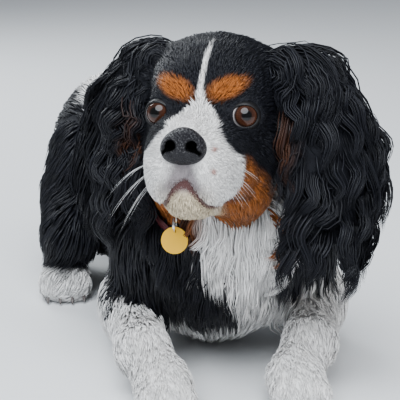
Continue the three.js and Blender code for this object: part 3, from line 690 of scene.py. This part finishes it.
def length_of(p, part):
    """Length of the coat at a place, in millimetres."""
    h = to_head(p)
    f, _, u = h.T
    x, y, z = p.T
    face = np.interp(f, [-60, -20, 5, 20, 46], [14, 11, 7, 5.5, 3.5])
    face = face + 9 * soft(-u - 34, 20) * soft(8 - f, 12) + 3 * soft(-u - 55, 12)
    face = face * (1 - 0.6 * lip_share(p, h, 3.4)) * (1 - 0.45 * under_nose(h))
    face = face * np.interp(near_eyes(p), [11, 20], [0.4, 1])
    trunk = np.interp(y, [-60, -10, 60, 160, 240], [40, 30, 22, 19, 26])
    trunk = trunk + 18 * soft(70 - z, 24) * soft(y - 10, 30)
    neck = np.interp(z, [100, 150, 190, 220], [52, 48, 32, 22])
    neck = neck * (1 - 0.5 * soft(15 - np.hypot(x + 34, z - 150), 8) * soft(-60 - y, 10))
    fore = np.interp(y, [-200, -150, -110, -60, 10], [7, 9, 12, 20, 30])
    hind = np.interp(z, [8, 30, 60, 110], [8, 14, 30, 24]) + 10 * soft(y - 214, 20)
    return np.select(
        [np.isin(part, HEAD_PARTS), part == "torso", part == "neck", part == "tail",
         np.isin(part, FORELEGS), np.isin(part, HINDLEGS)],
        [face, trunk, neck, np.full(len(p), 48.0), fore, hind], default=48.0)


# Tufts

def spread(mesh_points, triangles, count, weight, seed):
    """Random places over triangles, denser where the weight is larger."""
    rng = np.random.default_rng(seed)
    a, b, c = (mesh_points[triangles[:, k]] for k in range(3))
    area = np.linalg.norm(np.cross(b - a, c - a), axis=1) * weight
    chosen = rng.choice(len(triangles), size=count, p=area / area.sum())
    r = np.sqrt(rng.random(count))[:, None]
    s = rng.random(count)[:, None]
    return a[chosen] * (1 - r) + b[chosen] * r * (1 - s) + c[chosen] * r * s


def nearest(seeds, points):
    """For each point the number of its nearest seed."""
    out = np.empty(len(points), dtype=int)
    for i in range(0, len(points), 2000):
        d = ((points[i:i + 2000, None] - seeds[None]) ** 2).sum(axis=2)
        out[i:i + 2000] = d.argmin(axis=1)
    return out


def grow_paths(roots, lengths, lifts, stations, form, lie, gravity=0.0, seed=0, scatter=0.12):
    """Courses of tufts over a form: along the lie, held at a height that rises from the root."""
    rng = np.random.default_rng(seed)
    p = roots.copy()
    normals = gradient(form, p)
    path, out = [], []
    jitter = rng.normal(size=roots.shape) * scatter
    for j in range(stations + 1):
        t = j / stations
        if j:
            normals = unit(normals * 0.3 + gradient(form, p))
        height = -1.2 if j == 0 else lifts * math.sin(t * math.pi / 2)
        off = height - form(p)
        p = p + normals * np.clip(off, -6, 6)[:, None]
        path.append(p.copy())
        out.append(normals.copy())
        way = lie(p, normals) + jitter + vec(0, 0, -gravity) * t
        way = unit(way - normals * (way * normals).sum(axis=1)[:, None] * 0.9)
        p = p + way * (lengths / stations)[:, None]
    return np.stack(path, axis=1), np.stack(out, axis=1)


def clump(path, normals, seeds_count, pull, wave, turns, seed):
    """Draws tufts to common tips and gives each group of them one wave."""
    rng = np.random.default_rng(seed)
    count, rows, _ = path.shape
    leaders = rng.choice(count, size=seeds_count, replace=False)
    group = nearest(path[leaders, 0], path[:, 0])
    leader = leaders[group]
    t = np.linspace(0, 1, rows)[None, :, None]
    drawn = path + (path[leader] - path) * pull * t**1.4
    along = unit(np.gradient(drawn, axis=1))
    lateral = unit(np.cross(along, normals))
    phase = rng.uniform(0, 2 * math.pi, seeds_count)[group][:, None, None]
    size = wave * rng.uniform(0.5, 1.4, seeds_count)[group][:, None, None]
    pace = turns * rng.uniform(0.8, 1.25, seeds_count)[group][:, None, None]
    swing = size * np.minimum(1, 2.2 * t)
    drawn = drawn + lateral * swing * np.sin(phase + pace * 2 * math.pi * t)
    return drawn + normals * swing * 0.55 * (np.cos(phase + pace * 2 * math.pi * t) + 0.6)


def coat_material():
    made = bpy.data.materials.get("coat_hair")
    return made or material("coat_hair", roughness=0.48, specular=0.24)


def unwrap(points, normals, right):
    """Places on a flat sheet of six squares, one for each way the skin faces, halved for a pair."""
    low, high = points.min(axis=0), points.max(axis=0)
    q = (points - low) / np.maximum(high - low, 1e-6)
    axis = np.abs(normals).argmax(axis=1)
    sign = (normals[np.arange(len(normals)), axis] > 0).astype(int)
    across = np.where(axis == 0, q[:, 1], q[:, 0])
    if right.any() and not right.all():
        across = (across + right) / 2
    along = np.where(axis == 2, q[:, 1], q[:, 2])
    return np.stack([(axis + 0.03 + 0.94 * across) / 3, (sign + 0.03 + 0.94 * along) / 2], axis=1)


def tuft_mesh(name, path, normals, widths, colours, thickness=0.3, right=None):
    """Closed three-sided tufts along the given courses, painted with painted shade toward their roots, each
    with a patch of the bake map.
    """
    count, rows, _ = path.shape
    stations = rows - 1
    along = unit(np.gradient(path, axis=1))
    across = unit(np.cross(along, normals))
    face = np.cross(across, along)
    t = np.linspace(0, 1, rows)
    profile = (0.75 + 0.5 * np.sin(np.pi * np.minimum(t * 1.2, 1))) * np.maximum(1 - t**2.5, 0.0)
    width = widths[:, None] * profile[None]
    points = np.empty((count, stations * 3 + 1, 3))
    for j in range(stations):
        w = width[:, j][:, None]
        points[:, 3 * j] = path[:, j] + across[:, j] * w / 2
        points[:, 3 * j + 1] = path[:, j] - across[:, j] * w / 2
        points[:, 3 * j + 2] = path[:, j] + face[:, j] * w * thickness
    points[:, -1] = path[:, -1]
    faces = [(0, 1, 2)]
    for j in range(stations - 1):
        for a, b in ((0, 1), (1, 2), (2, 0)):
            c, d = 3 * j + a, 3 * j + b
            faces += [(c, c + 3, d), (d, c + 3, d + 3)]
    last = 3 * (stations - 1)
    faces += [(last + a, 3 * stations, last + b) for a, b in ((0, 1), (1, 2), (2, 0))]
    faces = np.array(faces)
    per = stations * 3 + 1
    loops = (faces[None] + (np.arange(count) * per)[:, None, None]).reshape(-1)
    thing = fast_mesh(name, points.reshape(-1, 3), loops, np.full(count * len(faces), 3))
    # Painted shade: each tuft is painted darker toward its root, 0.8 there and 1.0 at its tip, as shade
    # within the coat
    root_shade = np.concatenate([np.repeat(np.linspace(0.8, 1.0, stations), 3), [1.0]])[None, :, None]
    paint(thing, (colours[:, None] * root_shade).reshape(-1, 3))
    flat = unwrap(path[:, 0], normals[:, 0], np.zeros(count) if right is None else right)
    local = np.zeros((per, 2))
    for j in range(stations):
        for k in range(3):
            local[3 * j + k] = (k / 3, j / stations)
    local[-1] = (0.33, 1)
    uv = flat[:, None] + local[None] * 0.003
    layer = thing.data.uv_layers.new(name="OFBake")
    layer.data.foreach_set("uv", uv.reshape(-1, 2)[loops].astype(np.float32).ravel())
    thing.data.materials.append(coat_material())
    return thing


# What the operators build with

class Kept:
    """The skin, kept between the operators that grow on it."""
    points = None
    triangles = None
    part = None
    centres = None


def sizes():
    return bpy.context.scene.spaniel_sizes


def hues():
    colours = bpy.context.scene.spaniel_colours
    return {name: tuple(getattr(colours, name)) for name in ("black", "white", "tan", "cream")}


# The grid that the skin is meshed on: where it starts and ends, and where its fine part does
GRID = {"x": (-150, 128, -92, 40), "y": (-205, 350, -200, -60), "z": (-12, 280, 126, 278)}
FLOOR_GAP = 0.4


def build_skin():
    coarse = 3.0
    fine = 1.3

    def ticks(low, high, fine_low, fine_high):
        a = np.arange(low, fine_low, coarse)
        b = np.arange(fine_low, fine_high, fine)
        c = np.arange(fine_high, high, coarse)
        return np.concatenate([a, b, c])
    xs, ys, zs = (ticks(*GRID[axis]) for axis in "xyz")
    points, faces = net_of(SKIN, xs, ys, zs)
    points[:, 2] = np.maximum(points[:, 2], FLOOR_GAP)
    skin = mesh_object("skin", points, faces)
    part = part_of(points)
    colours = coat_colour(points, part, hues())
    # Painted shade with the lips' own colour: the skin along the crease of the lips is painted darker
    colours = mix(colours, LIP_UNDER_AND_SHADE, lip_share(points, to_head(points), 3.0))
    # Painted shade: the skin is painted at 0.85 of the coat's colours, as shade under the coat
    paint(skin, colours * 0.85)
    relief = ("noise", 900, 0.5, 0.0006)
    skin.data.materials.append(material("skin_under_coat", roughness=0.75, specular=0.2, bump=relief))
    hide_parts(*FLESH)
    triangles = np.vstack([faces[:, [0, 1, 2]], faces[:, [0, 2, 3]]])
    Kept.points, Kept.triangles = points, triangles
    Kept.centres = points[triangles].mean(axis=1)
    Kept.part = part[triangles[:, 0]]


# Coat pieces: the parts they cover, how many tufts, their stations, width and lift, how many clumps
# they form, how far each is drawn together, and the size and number of its waves
COAT_COLUMNS = ["parts", "count", "stations", "width", "lift", "clumps", "pull", "wave", "turns"]
COATS = {
    "coat_face": (HEAD_PARTS, 18500, 2, 0.72, 1.3, 2600, 0.2, 0.1, 0.5),
    "coat_skull": (HEAD_PARTS, 11000, 3, 1.0, 2.2, 1500, 0.35, 0.3, 0.6),
    "coat_neck": (["neck"], 6700, 5, 1.4, 12.0, 300, 0.68, 2.8, 0.9),
    "coat_trunk": (["torso"], 11500, 3, 2.0, 3.4, 900, 0.45, 0.7, 0.6),
    "coat_forelegs": (FORELEGS, 11200, 3, 1.2, 2.6, 1100, 0.3, 0.4, 0.6),
    "coat_hindlegs": (HINDLEGS, 7000, 3, 1.6, 2.8, 600, 0.4, 0.6, 0.6),
    "coat_tail": (["tail"], 3600, 4, 1.8, 14.0, 170, 0.6, 2.0, 0.8),
}
FACE_FROM = -6


def build_coat(name, spec, seed):
    mask = np.isin(Kept.part, spec["parts"])
    if spec["parts"] is HEAD_PARTS:  # two pieces share the head, before and behind a line
        mask &= (to_head(Kept.centres)[:, 0] > FACE_FROM) == (name == "coat_face")
    triangles = Kept.triangles[mask]
    centres = Kept.centres[mask]
    part_here = Kept.part[mask]
    weight = 1 / np.maximum(length_of(centres, part_here), 4) ** 0.55
    weight = weight * np.where(centres[:, 2] < 1.5, 0.1, 1) * (NOSE(centres) > -0.8)
    count = spec["count"]
    roots = spread(Kept.points, triangles, count, weight, seed)
    part = part_of(roots)
    part = np.where(np.isin(part, spec["parts"]), part, spec["parts"][0])
    lengths = length_of(roots, part)
    rng = np.random.default_rng(seed + 1)
    lengths = lengths * rng.uniform(0.8, 1.2, len(roots)) * sizes().coat_length
    lifts = spec["lift"] * np.clip(lengths / np.median(lengths), 0.4, 1.8) * rng.uniform(0.7, 1.3, len(roots))
    if "neck" in spec["parts"]:
        collar_zone = soft(roots[:, 2] - 130, 20) * soft(190 - roots[:, 2], 16)
        lifts = np.maximum(lifts, 15.5 * collar_zone)
    path, normals = grow_paths(
        roots, lengths, lifts, spec["stations"], SKIN, lambda p, n: lie_of(p, n, part),
        gravity=0.15, seed=seed)
    clumps = max(8, spec["clumps"] // (1))
    path = clump(path, normals, clumps, spec["pull"], spec["wave"], spec["turns"], seed)
    clear_of_eyes(path)
    path[:, :, 2] = np.maximum(path[:, :, 2], 0.6)
    widths = spec["width"] * rng.uniform(0.7, 1.25, len(roots)) * tuft_share()
    widths = widths * np.clip(lengths / np.median(lengths), 0.6, 1.4)
    colours = coat_colour(roots + (path[:, 1] - roots) * 0.5, part, hues())
    colours = colours * rng.uniform(0.8, 1.2, (len(roots), 1))
    thing = tuft_mesh(name, path, normals, widths, colours, right=np.char.endswith(part, "_right"))


def tuft_share():
    return sizes().tuft_width * 1


def clear_of_eyes(path):
    """Pushes tufts off the open part of the eyes."""
    for s in SIDES.values():
        sight = lid_sight(s)
        off = path - eye_at(s)
        ahead = off @ sight
        radial = off - ahead[..., None] * sight
        size = np.linalg.norm(radial, axis=-1)
        close = (ahead > 0) & (ahead < 16) & (size < EYE["opening"] + 0.2)
        push = unit(radial) * (EYE["opening"] + 0.2 - size)[..., None]
        path += np.where(close[..., None], push, 0)


def build_ear_coat(side, seed):
    """Long wavy locks over both faces and the edges of an ear, each of many fine tufts."""
    rng = np.random.default_rng(seed)
    locks = 120
    each = 31
    stations = 9
    share = rng.uniform(0.0, 1.0, locks) ** 0.9 - 0.03
    angle = rng.uniform(-0.35 * math.pi, 1.35 * math.pi, locks)
    reach = rng.uniform(38, 62, locks) / 150 * sizes().coat_length
    lift = rng.uniform(2, 12, locks)
    narrow_top = 1
    if side == "right":
        lift = lift * np.interp(share, [0, 0.3], [0.3, 1])
        narrow_top = np.interp(share, [0, 0.35, 0.7], [0.66, 0.74, 1])
    phase = rng.uniform(0, 2 * math.pi, locks)
    sway = rng.uniform(3.0, 6.5, locks)
    pace = rng.uniform(1.0, 1.8, locks)
    rows = np.arange(stations + 1) / stations
    paths, outs = [], []
    for t in rows:
        centre, along, width, face = ear_axes(side, share + reach * t)
        half = ear_half_width(share) * 0.92 * narrow_top
        across = np.cos(angle)[:, None] * width + np.sin(angle)[:, None] * face
        base = centre + width * (np.cos(angle) * half)[:, None] + face * (np.sin(angle) * 4.5)[:, None]
        lateral = np.cross(along, across)
        high = -1 + (lift + 1) * np.minimum(1, 2.5 * t) + 2 * np.sin(math.pi * t)
        turn = phase + pace * 2 * math.pi * t
        size = sway * min(1, 1.8 * t)
        rise = across * (high + size * 0.6 * np.cos(turn))[:, None]
        paths.append(base + rise + lateral * (size * np.sin(turn))[:, None])
        outs.append(across)
    guide = np.stack(paths, axis=1)
    out = np.stack(outs, axis=1)
    which = np.repeat(np.arange(locks), each)
    lateral = unit(np.cross(np.gradient(guide, axis=1), out))
    spread_side = rng.normal(size=len(which)) * 4.2
    spread_out = rng.normal(size=len(which)) * 2.2
    narrow = (1 - 0.75 * rows**1.5)[None, :, None]
    path = guide[which] + lateral[which] * spread_side[:, None, None] * narrow
    path = path + out[which] * spread_out[:, None, None] * narrow
    trim = rng.uniform(0.75, 1.0, len(which))
    path = resample(path, trim)
    widths = rng.uniform(0.9, 1.7, len(which)) * tuft_share()
    part = np.full(len(which), "ear_" + side)
    colours = coat_colour(path[:, 2], part, hues()) * rng.uniform(0.75, 1.25, (len(which), 1))
    thing = tuft_mesh("coat_ear_" + side, path, out[which], widths, colours)


def front_of(x, z):
    """The foremost place of the skin at a width and height."""
    ys = np.arange(-150, -20, 1.0)
    line = np.stack([np.full(len(ys), x), ys, np.full(len(ys), z)], axis=1)
    inside = SKIN(line) < 0
    return ys[inside.argmax()] if inside.any() else -60.0


def build_curls(seed):
    """White and tan locks that curl beside the bib, under the left ear."""
    rng = np.random.default_rng(seed)
    rows, each = 9, 60
    guides, tints = [], []
    white, tan = (np.array(hues()[name]) for name in ("white", "tan"))
    for number in range(7):
        top, radius = 136 - 4.5 * number, 10 + 1.3 * number
        centre_x = 27 + rng.uniform(-3, 3)
        turn = np.linspace(0.62 * math.pi, -0.62 * math.pi, rows)
        x = centre_x + radius * np.cos(turn)
        z = top - radius + radius * 1.15 * np.sin(turn)
        off = np.interp(np.arange(rows), [0, 2, rows - 1], [-2, 17, 24 + number * 0.5])
        guides.append(np.array([(a, front_of(a, c) - d, c) for a, c, d in zip(x, z, off)]))
        tints.append(tan if number in (2, 3) else white)
    guide = np.array(guides)
    which = np.repeat(np.arange(len(guide)), each)
    narrow = (1 - 0.7 * np.linspace(0, 1, rows)**1.5)[None, :, None]
    path = guide[which] + rng.normal(size=(len(which), 1, 3)) * vec(2.4, 2.0, 2.4) * narrow
    path = resample(path, rng.uniform(0.75, 1.0, len(which)))
    normals = np.tile(vec(0, -1, 0), (len(which), rows, 1))
    colours = np.array(tints)[which] * rng.uniform(0.8, 1.15, (len(which), 1))
    thing = tuft_mesh("coat_curls", path, normals, rng.uniform(0.8, 1.4, len(which)), colours)


def resample(path, share):
    """Shortens each course to a share of its length."""
    count, rows, _ = path.shape
    at = np.linspace(0, 1, rows)[None] * share[:, None] * (rows - 1)
    low = np.minimum(at.astype(int), rows - 2)
    part = (at - low)[..., None]
    index = np.arange(count)[:, None]
    return path[index, low] * (1 - part) + path[index, low + 1] * part


# Eyes, lids, nose, claws, whiskers and what it wears

def eye_sheet(sight):
    """Two directions square to the line of sight: to the side and up."""
    across = unit(np.cross(HEAD[2], sight))
    return across, np.cross(sight, across)


def eye_ray(sight, across, up, polar, turn):
    """A direction out of the eye, by its angle from the line of sight and its turn about it."""
    return sight * math.cos(polar) + (across * math.cos(turn) + up * math.sin(turn)) * math.sin(polar)


# Colours of the eye by distance from its middle: pupil, iris, dark ring and white
EYE_STOPS = [0, 3.0, 3.7, 6.6, 7.6, 8.0, 8.8, 30]
EYE_SHADES = np.array([
    (0.002, 0.002, 0.002), (0.002, 0.002, 0.002), (0.027, 0.0095, 0.0055), (0.052, 0.018, 0.009),
    (0.020, 0.008, 0.005), (0.006, 0.004, 0.004), (0.46, 0.42, 0.42), (0.46, 0.42, 0.42),
])


def build_eyeball(side):
    """A ball with a low clear bulge in front, painted with pupil, iris, dark ring and white."""
    s = SIDES[side]
    sight = unit(eye_sight(s, EYE["gaze"][side]) - HEAD[2] * 0.03)
    radius, rings, around = EYE["radius"], 60, 72
    across, up = eye_sheet(sight)
    points, offs, turns = [eye_at(s) + sight * (radius + 1.0)], [0.0], [0.0]
    for r in range(1, rings):
        polar = math.pi * (r / rings) ** 1.25
        bulge = max(0.0, 1 - (polar / 0.78) ** 2)
        for k in range(around):
            turn = 2 * math.pi * k / around
            ray = eye_ray(sight, across, up, polar, turn)
            points.append(eye_at(s) + ray * (radius + bulge))
            offs.append(radius * math.sin(polar) if polar < math.pi / 2 else 30)
            turns.append(turn)
    points.append(eye_at(s) - sight * radius)
    offs.append(30)
    turns.append(0)
    offs, turns = np.array(offs), np.array(turns)
    colours = np.stack([np.interp(offs, EYE_STOPS, EYE_SHADES[:, n]) for n in range(3)], axis=1)
    iris = (offs > 3.6) & (offs < 7.8)
    fibres = 1 + 0.3 * np.sin(turns * 29) + 0.35 * np.sin(-turns)
    colours = np.where(iris[:, None], colours * fibres[:, None], colours)
    last = len(points) - 1
    end = 1 + (rings - 2) * around
    faces = [(0, 1 + k, 1 + (k + 1) % around) for k in range(around)]
    for r in range(rings - 2):
        for k in range(around):
            a, b = 1 + r * around + k, 1 + r * around + (k + 1) % around
            faces.append((a, a + around, b + around, b))
    faces += [(last, end + (k + 1) % around, end + k) for k in range(around)]
    ball = mesh_object("eyeball_" + side, points, faces)
    paint(ball, colours)
    ball.data.materials.append(material("eye_wet_" + side, roughness=0.06, specular=0.34))
    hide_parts("eye_" + side)


def build_lids(side):
    """A band of dark skin over the ball, open in an almond before the iris."""
    s = SIDES[side]
    sight = lid_sight(s)
    radius, loops = EYE["radius"], 64
    across, up = eye_sheet(sight)
    outer = [(0.0, 0.3), (0.03, 0.75), (0.09, 0.95), (0.2, 0.95), (0.38, 0.7), (0.6, 0.1)]
    section = outer + [(0.6, -1.0), (0.3, -0.3), (0.05, -0.2)]
    points, faces = [], []
    for k in range(loops):
        turn = 2 * math.pi * k / loops
        opening = EYE["opening"] * (1 + 0.09 * math.cos(2 * turn) - 0.05 * max(0.0, math.sin(turn)))
        start = math.asin(opening / (radius + 0.6))
        for further, height in section:
            polar = start + further
            ray = eye_ray(sight, across, up, polar, turn)
            points.append(eye_at(s) + ray * (radius + 0.25 + height))
    size = len(section)
    for k in range(loops):
        for m in range(size):
            a, b = k * size + m, k * size + (m + 1) % size
            c, d = ((k + 1) % loops) * size + m, ((k + 1) % loops) * size + (m + 1) % size
            faces.append((a, b, d, c))
    lids = mesh_object("lids_" + side, points, faces)
    dark = material("lid_skin_" + side, (0.005, 0.0045, 0.005), roughness=0.5, specular=0.3)
    lids.data.materials.append(dark)


def nose_material():
    """Pebbled leather that loses its shine where painted shade darkens it, inside the nostrils."""
    made = material("nose_leather", roughness=0.4, bump=("cells", 620, 0.9, 0.0012))
    nodes, links = made.node_tree.nodes, made.node_tree.links
    painted = next(node for node in nodes if node.bl_idname == "ShaderNodeVertexColor")
    shine = nodes.new("ShaderNodeMath")
    shine.operation = "MULTIPLY"
    shine.use_clamp = True
    shine.inputs[1].default_value = 34
    links.new(painted.outputs["Color"], shine.inputs[0])
    links.new(shine.outputs[0], nodes["Principled BSDF"].inputs["Specular IOR Level"])
    return made


def build_nose():
    holes = []
    for s in SIDES.values():
        inner, mouth = on_head(43.5, 9.2 * s, -24), on_head(60, 5.6 * s, -26.5)
        holes.append(limb(inner, mouth, 2.6, 3.5))
        holes.append(limb(on_head(51.5, 8 * s, -27), on_head(49, 12.6 * s, -30), 1.5, 0.8))
    groove = limb(on_head(54.6, 0, -26), on_head(50, 0, -40), 0.8, 1.0)
    form = carve(1.6, carve(2.2, nose_form(), blend(1.5, holes)), groove)
    step = 0.6
    centre = on_head(45, 0, -26)
    xs, ys, zs = (np.arange(c - 21, c + 21, step) for c in centre)
    points, faces = net_of(form, xs, ys, zs)
    nose = mesh_object("nose_leather", points, faces)
    # Painted shade: the inside of the nostrils is painted near black, darker than the leather
    inside = soft(0.9 - blend(1.5, holes)(points), 1.4)
    paint(nose, mix(vec(0.0085, 0.008, 0.0105), vec(0.0005, 0.0005, 0.0005), inside))
    nose.data.materials.append(nose_material())
    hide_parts("nose")


def build_whiskers():
    rng = np.random.default_rng(8)
    roots, ways = [], []
    for s in SIDES.values():
        for row in range(3):
            for k in range(4):
                roots.append(on_head(34 - 6 * k, 0, -38 - 7 * row) + HEAD[1] * s * 40)
                fall = 0.25 + 0.3 * row + 0.1 * rng.random()
                ways.append(HEAD[1] * s - HEAD[0] * 0.55 - HEAD[2] * fall)
    roots, ways = np.array(roots), unit(np.array(ways))
    for _ in range(60):
        roots = roots - HEAD[1] * np.sign(to_head(roots)[:, 1:2]) * np.maximum(SKIN(roots), 0)[:, None] * 0.7
    lengths = rng.uniform(22, 46, len(roots)) * np.where(to_head(roots)[:, 1] > 0, 0.5, 1)
    rows = np.linspace(0, 1, 7)
    droop = vec(0, 0, -1)
    path = roots[:, None] + ways[:, None] * (lengths[:, None] * rows[None])[..., None]
    path = path + droop * (lengths[:, None] * 0.34 * rows[None] ** 2)[..., None]
    normals = np.tile(HEAD[2], (len(roots), 7, 1))
    widths, pale = np.full(len(roots), 0.2), np.full((len(roots), 3), 0.75)
    thing = tuft_mesh("whiskers", path, normals, widths, pale, thickness=0.9)


def build_claws():
    paws = [(PAW["x"][side], PAW["y"] - 34) for side in SIDES]
    paws += [(66 * s + HIND_SHIFT, 99) for s in SIDES.values()]
    profile = [(0, 0, 1.6), (-4, -0.8, 1.5), (-7, -2.6, 1.1), (-8.4, -4.6, 0.4)]
    points, faces = [], []
    for x, y in paws:
        for n in (-1.5, -0.5, 0.5, 1.5):
            start = vec(x + n * 10.5, y + 4 * abs(n) + 4, 6.5)
            base = len(points)
            for step, drop, r in profile:
                for k in range(8):
                    a = 2 * math.pi * k / 8
                    points.append(start + vec(math.cos(a) * r, step, drop + math.sin(a) * r))
            for j in range(3):
                for k in range(8):
                    a, b = base + 8 * j + k, base + 8 * j + (k + 1) % 8
                    faces.append((a, b, b + 8, a + 8))
            faces.append(tuple(base + k for k in range(8))[::-1])
            faces.append(tuple(base + 24 + k for k in range(8)))
    claws = mesh_object("claws", points, faces)
    claws.data.materials.append(material("claw_horn", (0.10, 0.085, 0.08), roughness=0.35))


def build_worn():
    """The collar, ring and tag keep their solids and take their finishes."""
    finishes = {
        "collar": material("collar_band", (0.07, 0.007, 0.011), roughness=0.55),
        "tag_ring": material("ring_metal", (0.75, 0.72, 0.66), roughness=0.25, metallic=1.0),
        "tag": material("tag_gold", (0.90, 0.50, 0.022), roughness=0.45, metallic=0.35),
    }
    for name, finish in finishes.items():
        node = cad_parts[name]
        node.data.materials.clear()
        node.data.materials.append(finish)


# Lamps: place, aim, size, power, colour and whether glossy things mirror them
LAMPS = {
    "sky": ((-0.35, -1.0, 1.7), (0, -0.05, 0.12), 2.0, 92, (0.90, 0.95, 1.0), True),
    "front": ((1.9, -1.9, 1.3), (0, -0.05, 0.12), 2.8, 34, (1.0, 0.97, 0.94), False),
    "rim": ((-0.6, 1.4, 1.1), (0, 0, 0.15), 1.0, 26, (0.92, 0.97, 1.0), True),
}
# The photo's view: where it looks, from which side and height, how far off and through what lens
VIEW = {"at": (-0.0270, -0.1326, 0.1489), "turn": 7.5, "tip": 14, "off": 1.1, "lens": 139.6, "sensor": 36}


def area_light(name, at, towards, size, power, colour, glint):
    data = bpy.data.lights.new(name, "AREA")
    data.shape = "DISK"
    data.size = size
    data.energy = power
    data.color = colour
    lamp = bpy.data.objects.new(name, data)
    lamp.location = at
    lamp.visible_glossy = glint
    lamp.rotation_euler = (Vector(towards) - Vector(at)).to_track_quat("-Z", "Y").to_euler()
    bpy.context.scene.collection.objects.link(lamp)


def build_stage():
    size = 6.0
    floor_data = bpy.data.meshes.new("floor")
    corners = [(-size, -size, 0), (size, -size, 0), (size, size, 0), (-size, size, 0)]
    floor_data.from_pydata(corners, [], [(0, 1, 2, 3)])
    floor = bpy.data.objects.new("floor", floor_data)
    bpy.context.scene.collection.objects.link(floor)
    floor.data.materials.append(material("floor_pale", (0.72, 0.73, 0.74), roughness=0.9))
    for name, lamp in LAMPS.items():
        area_light(name, *lamp)
    world = bpy.data.worlds.new("studio")
    world.use_nodes = True
    world.node_tree.nodes["Background"].inputs["Color"].default_value = (0.80, 0.86, 0.95, 1)
    world.node_tree.nodes["Background"].inputs["Strength"].default_value = 0.34
    bpy.context.scene.world = world
    camera_data = bpy.data.cameras.new("camera")
    camera_data.lens = VIEW["lens"]
    camera_data.sensor_width = VIEW["sensor"]
    camera = bpy.data.objects.new("camera", camera_data)
    turn, tip = math.radians(VIEW["turn"]), math.radians(VIEW["tip"])
    look = Vector((math.sin(turn) * math.cos(tip), math.cos(turn) * math.cos(tip), -math.sin(tip)))
    camera.location = Vector(VIEW["at"]) - look * VIEW["off"]
    camera.rotation_euler = look.to_track_quat("-Z", "Y").to_euler()
    bpy.context.scene.collection.objects.link(camera)
    bpy.context.scene.camera = camera


# The add-on

def colour_property(name, description, default):
    return FloatVectorProperty(name=name, description=description, subtype="COLOR", default=default)


class SpanielColours(bpy.types.PropertyGroup):
    # The black is the coat's own colour, with a blue tint that is painted sheen of the sky
    black: colour_property("Black", "Colour of the black coat", (0.0065, 0.007, 0.0105))
    white: colour_property("White", "Colour of the white coat", (0.84, 0.825, 0.81))
    tan: colour_property("Tan", "Colour of the tan marks", (0.30, 0.09, 0.016))
    cream: colour_property("Cream", "Colour of the chin", (0.56, 0.46, 0.30))


class SpanielSizes(bpy.types.PropertyGroup):
    coat_length: FloatProperty(
        name="Coat length", description="Length of the coat beside its usual one",
        subtype="FACTOR", default=1.0, min=0.5, max=1.5)
    tuft_width: FloatProperty(
        name="Tuft width", description="Width of each tuft beside its usual one",
        subtype="FACTOR", default=1.0, min=0.5, max=2.0)


class SpanielOperator:
    bl_options = {"REGISTER", "UNDO"}


class SPANIEL_OT_skin(SpanielOperator, bpy.types.Operator):
    """Build the skin as one piece over all the flesh"""
    bl_idname = "spaniel.skin"
    bl_label = "Skin"

    def execute(self, context):
        build_skin()
        return {"FINISHED"}


class SPANIEL_OT_face(SpanielOperator, bpy.types.Operator):
    """Build the eyes, lids, nose and whiskers"""
    bl_idname = "spaniel.face"
    bl_label = "Eyes, lids, nose and whiskers"

    def execute(self, context):
        for side in SIDES:
            build_eyeball(side)
            build_lids(side)
        build_nose()
        build_whiskers()
        return {"FINISHED"}


class SPANIEL_OT_claws(SpanielOperator, bpy.types.Operator):
    """Build the claws of all four feet"""
    bl_idname = "spaniel.claws"
    bl_label = "Claws"

    def execute(self, context):
        build_claws()
        return {"FINISHED"}


class SPANIEL_OT_coat(SpanielOperator, bpy.types.Operator):
    """Grow the coat over the head, neck, trunk, legs and tail"""
    bl_idname = "spaniel.coat"
    bl_label = "Coat"

    def execute(self, context):
        for number, (name, row) in enumerate(COATS.items()):
            build_coat(name, dict(zip(COAT_COLUMNS, row)), 100 + 10 * number)
        build_curls(70)
        return {"FINISHED"}


class SPANIEL_OT_ears(SpanielOperator, bpy.types.Operator):
    """Grow the long wavy coat of both ears"""
    bl_idname = "spaniel.ears"
    bl_label = "Coat of the ears"

    def execute(self, context):
        for number, side in enumerate(SIDES):
            build_ear_coat(side, 60 + number)
        return {"FINISHED"}


class SPANIEL_OT_worn(SpanielOperator, bpy.types.Operator):
    """Give the collar, ring and tag their finishes"""
    bl_idname = "spaniel.worn"
    bl_label = "Collar and tag"

    def execute(self, context):
        build_worn()
        return {"FINISHED"}


class SPANIEL_OT_stage(SpanielOperator, bpy.types.Operator):
    """Set up the floor, lights and camera"""
    bl_idname = "spaniel.stage"
    bl_label = "Stage"

    def execute(self, context):
        build_stage()
        return {"FINISHED"}


class SPANIEL_PT_panel(bpy.types.Panel):
    bl_label = "Spaniel"
    bl_idname = "SPANIEL_PT_panel"
    bl_space_type = "VIEW_3D"
    bl_region_type = "UI"
    bl_category = "Spaniel"

    def draw(self, context):
        column = self.layout.column()
        for name in SpanielColours.__annotations__:
            column.prop(context.scene.spaniel_colours, name)
        for name in SpanielSizes.__annotations__:
            column.prop(context.scene.spaniel_sizes, name)
        for operator in OPERATORS:
            column.operator(operator.bl_idname)


OPERATORS = (
    SPANIEL_OT_skin, SPANIEL_OT_face, SPANIEL_OT_claws, SPANIEL_OT_coat, SPANIEL_OT_ears,
    SPANIEL_OT_worn, SPANIEL_OT_stage,
)


def register():
    for item in (SpanielColours, SpanielSizes, *OPERATORS, SPANIEL_PT_panel):
        bpy.utils.register_class(item)
    bpy.types.Scene.spaniel_colours = PointerProperty(type=SpanielColours)
    bpy.types.Scene.spaniel_sizes = PointerProperty(type=SpanielSizes)


def unregister():
    del bpy.types.Scene.spaniel_sizes
    del bpy.types.Scene.spaniel_colours
    for item in (SPANIEL_PT_panel, *reversed(OPERATORS), SpanielSizes, SpanielColours):
        bpy.utils.unregister_class(item)


def main():
    register()
    bpy.ops.spaniel.skin()
    bpy.ops.spaniel.face()
    bpy.ops.spaniel.claws()
    bpy.ops.spaniel.coat()
    bpy.ops.spaniel.ears()
    bpy.ops.spaniel.worn()
    bpy.ops.spaniel.stage()


if __name__ == "__main__":
    main()
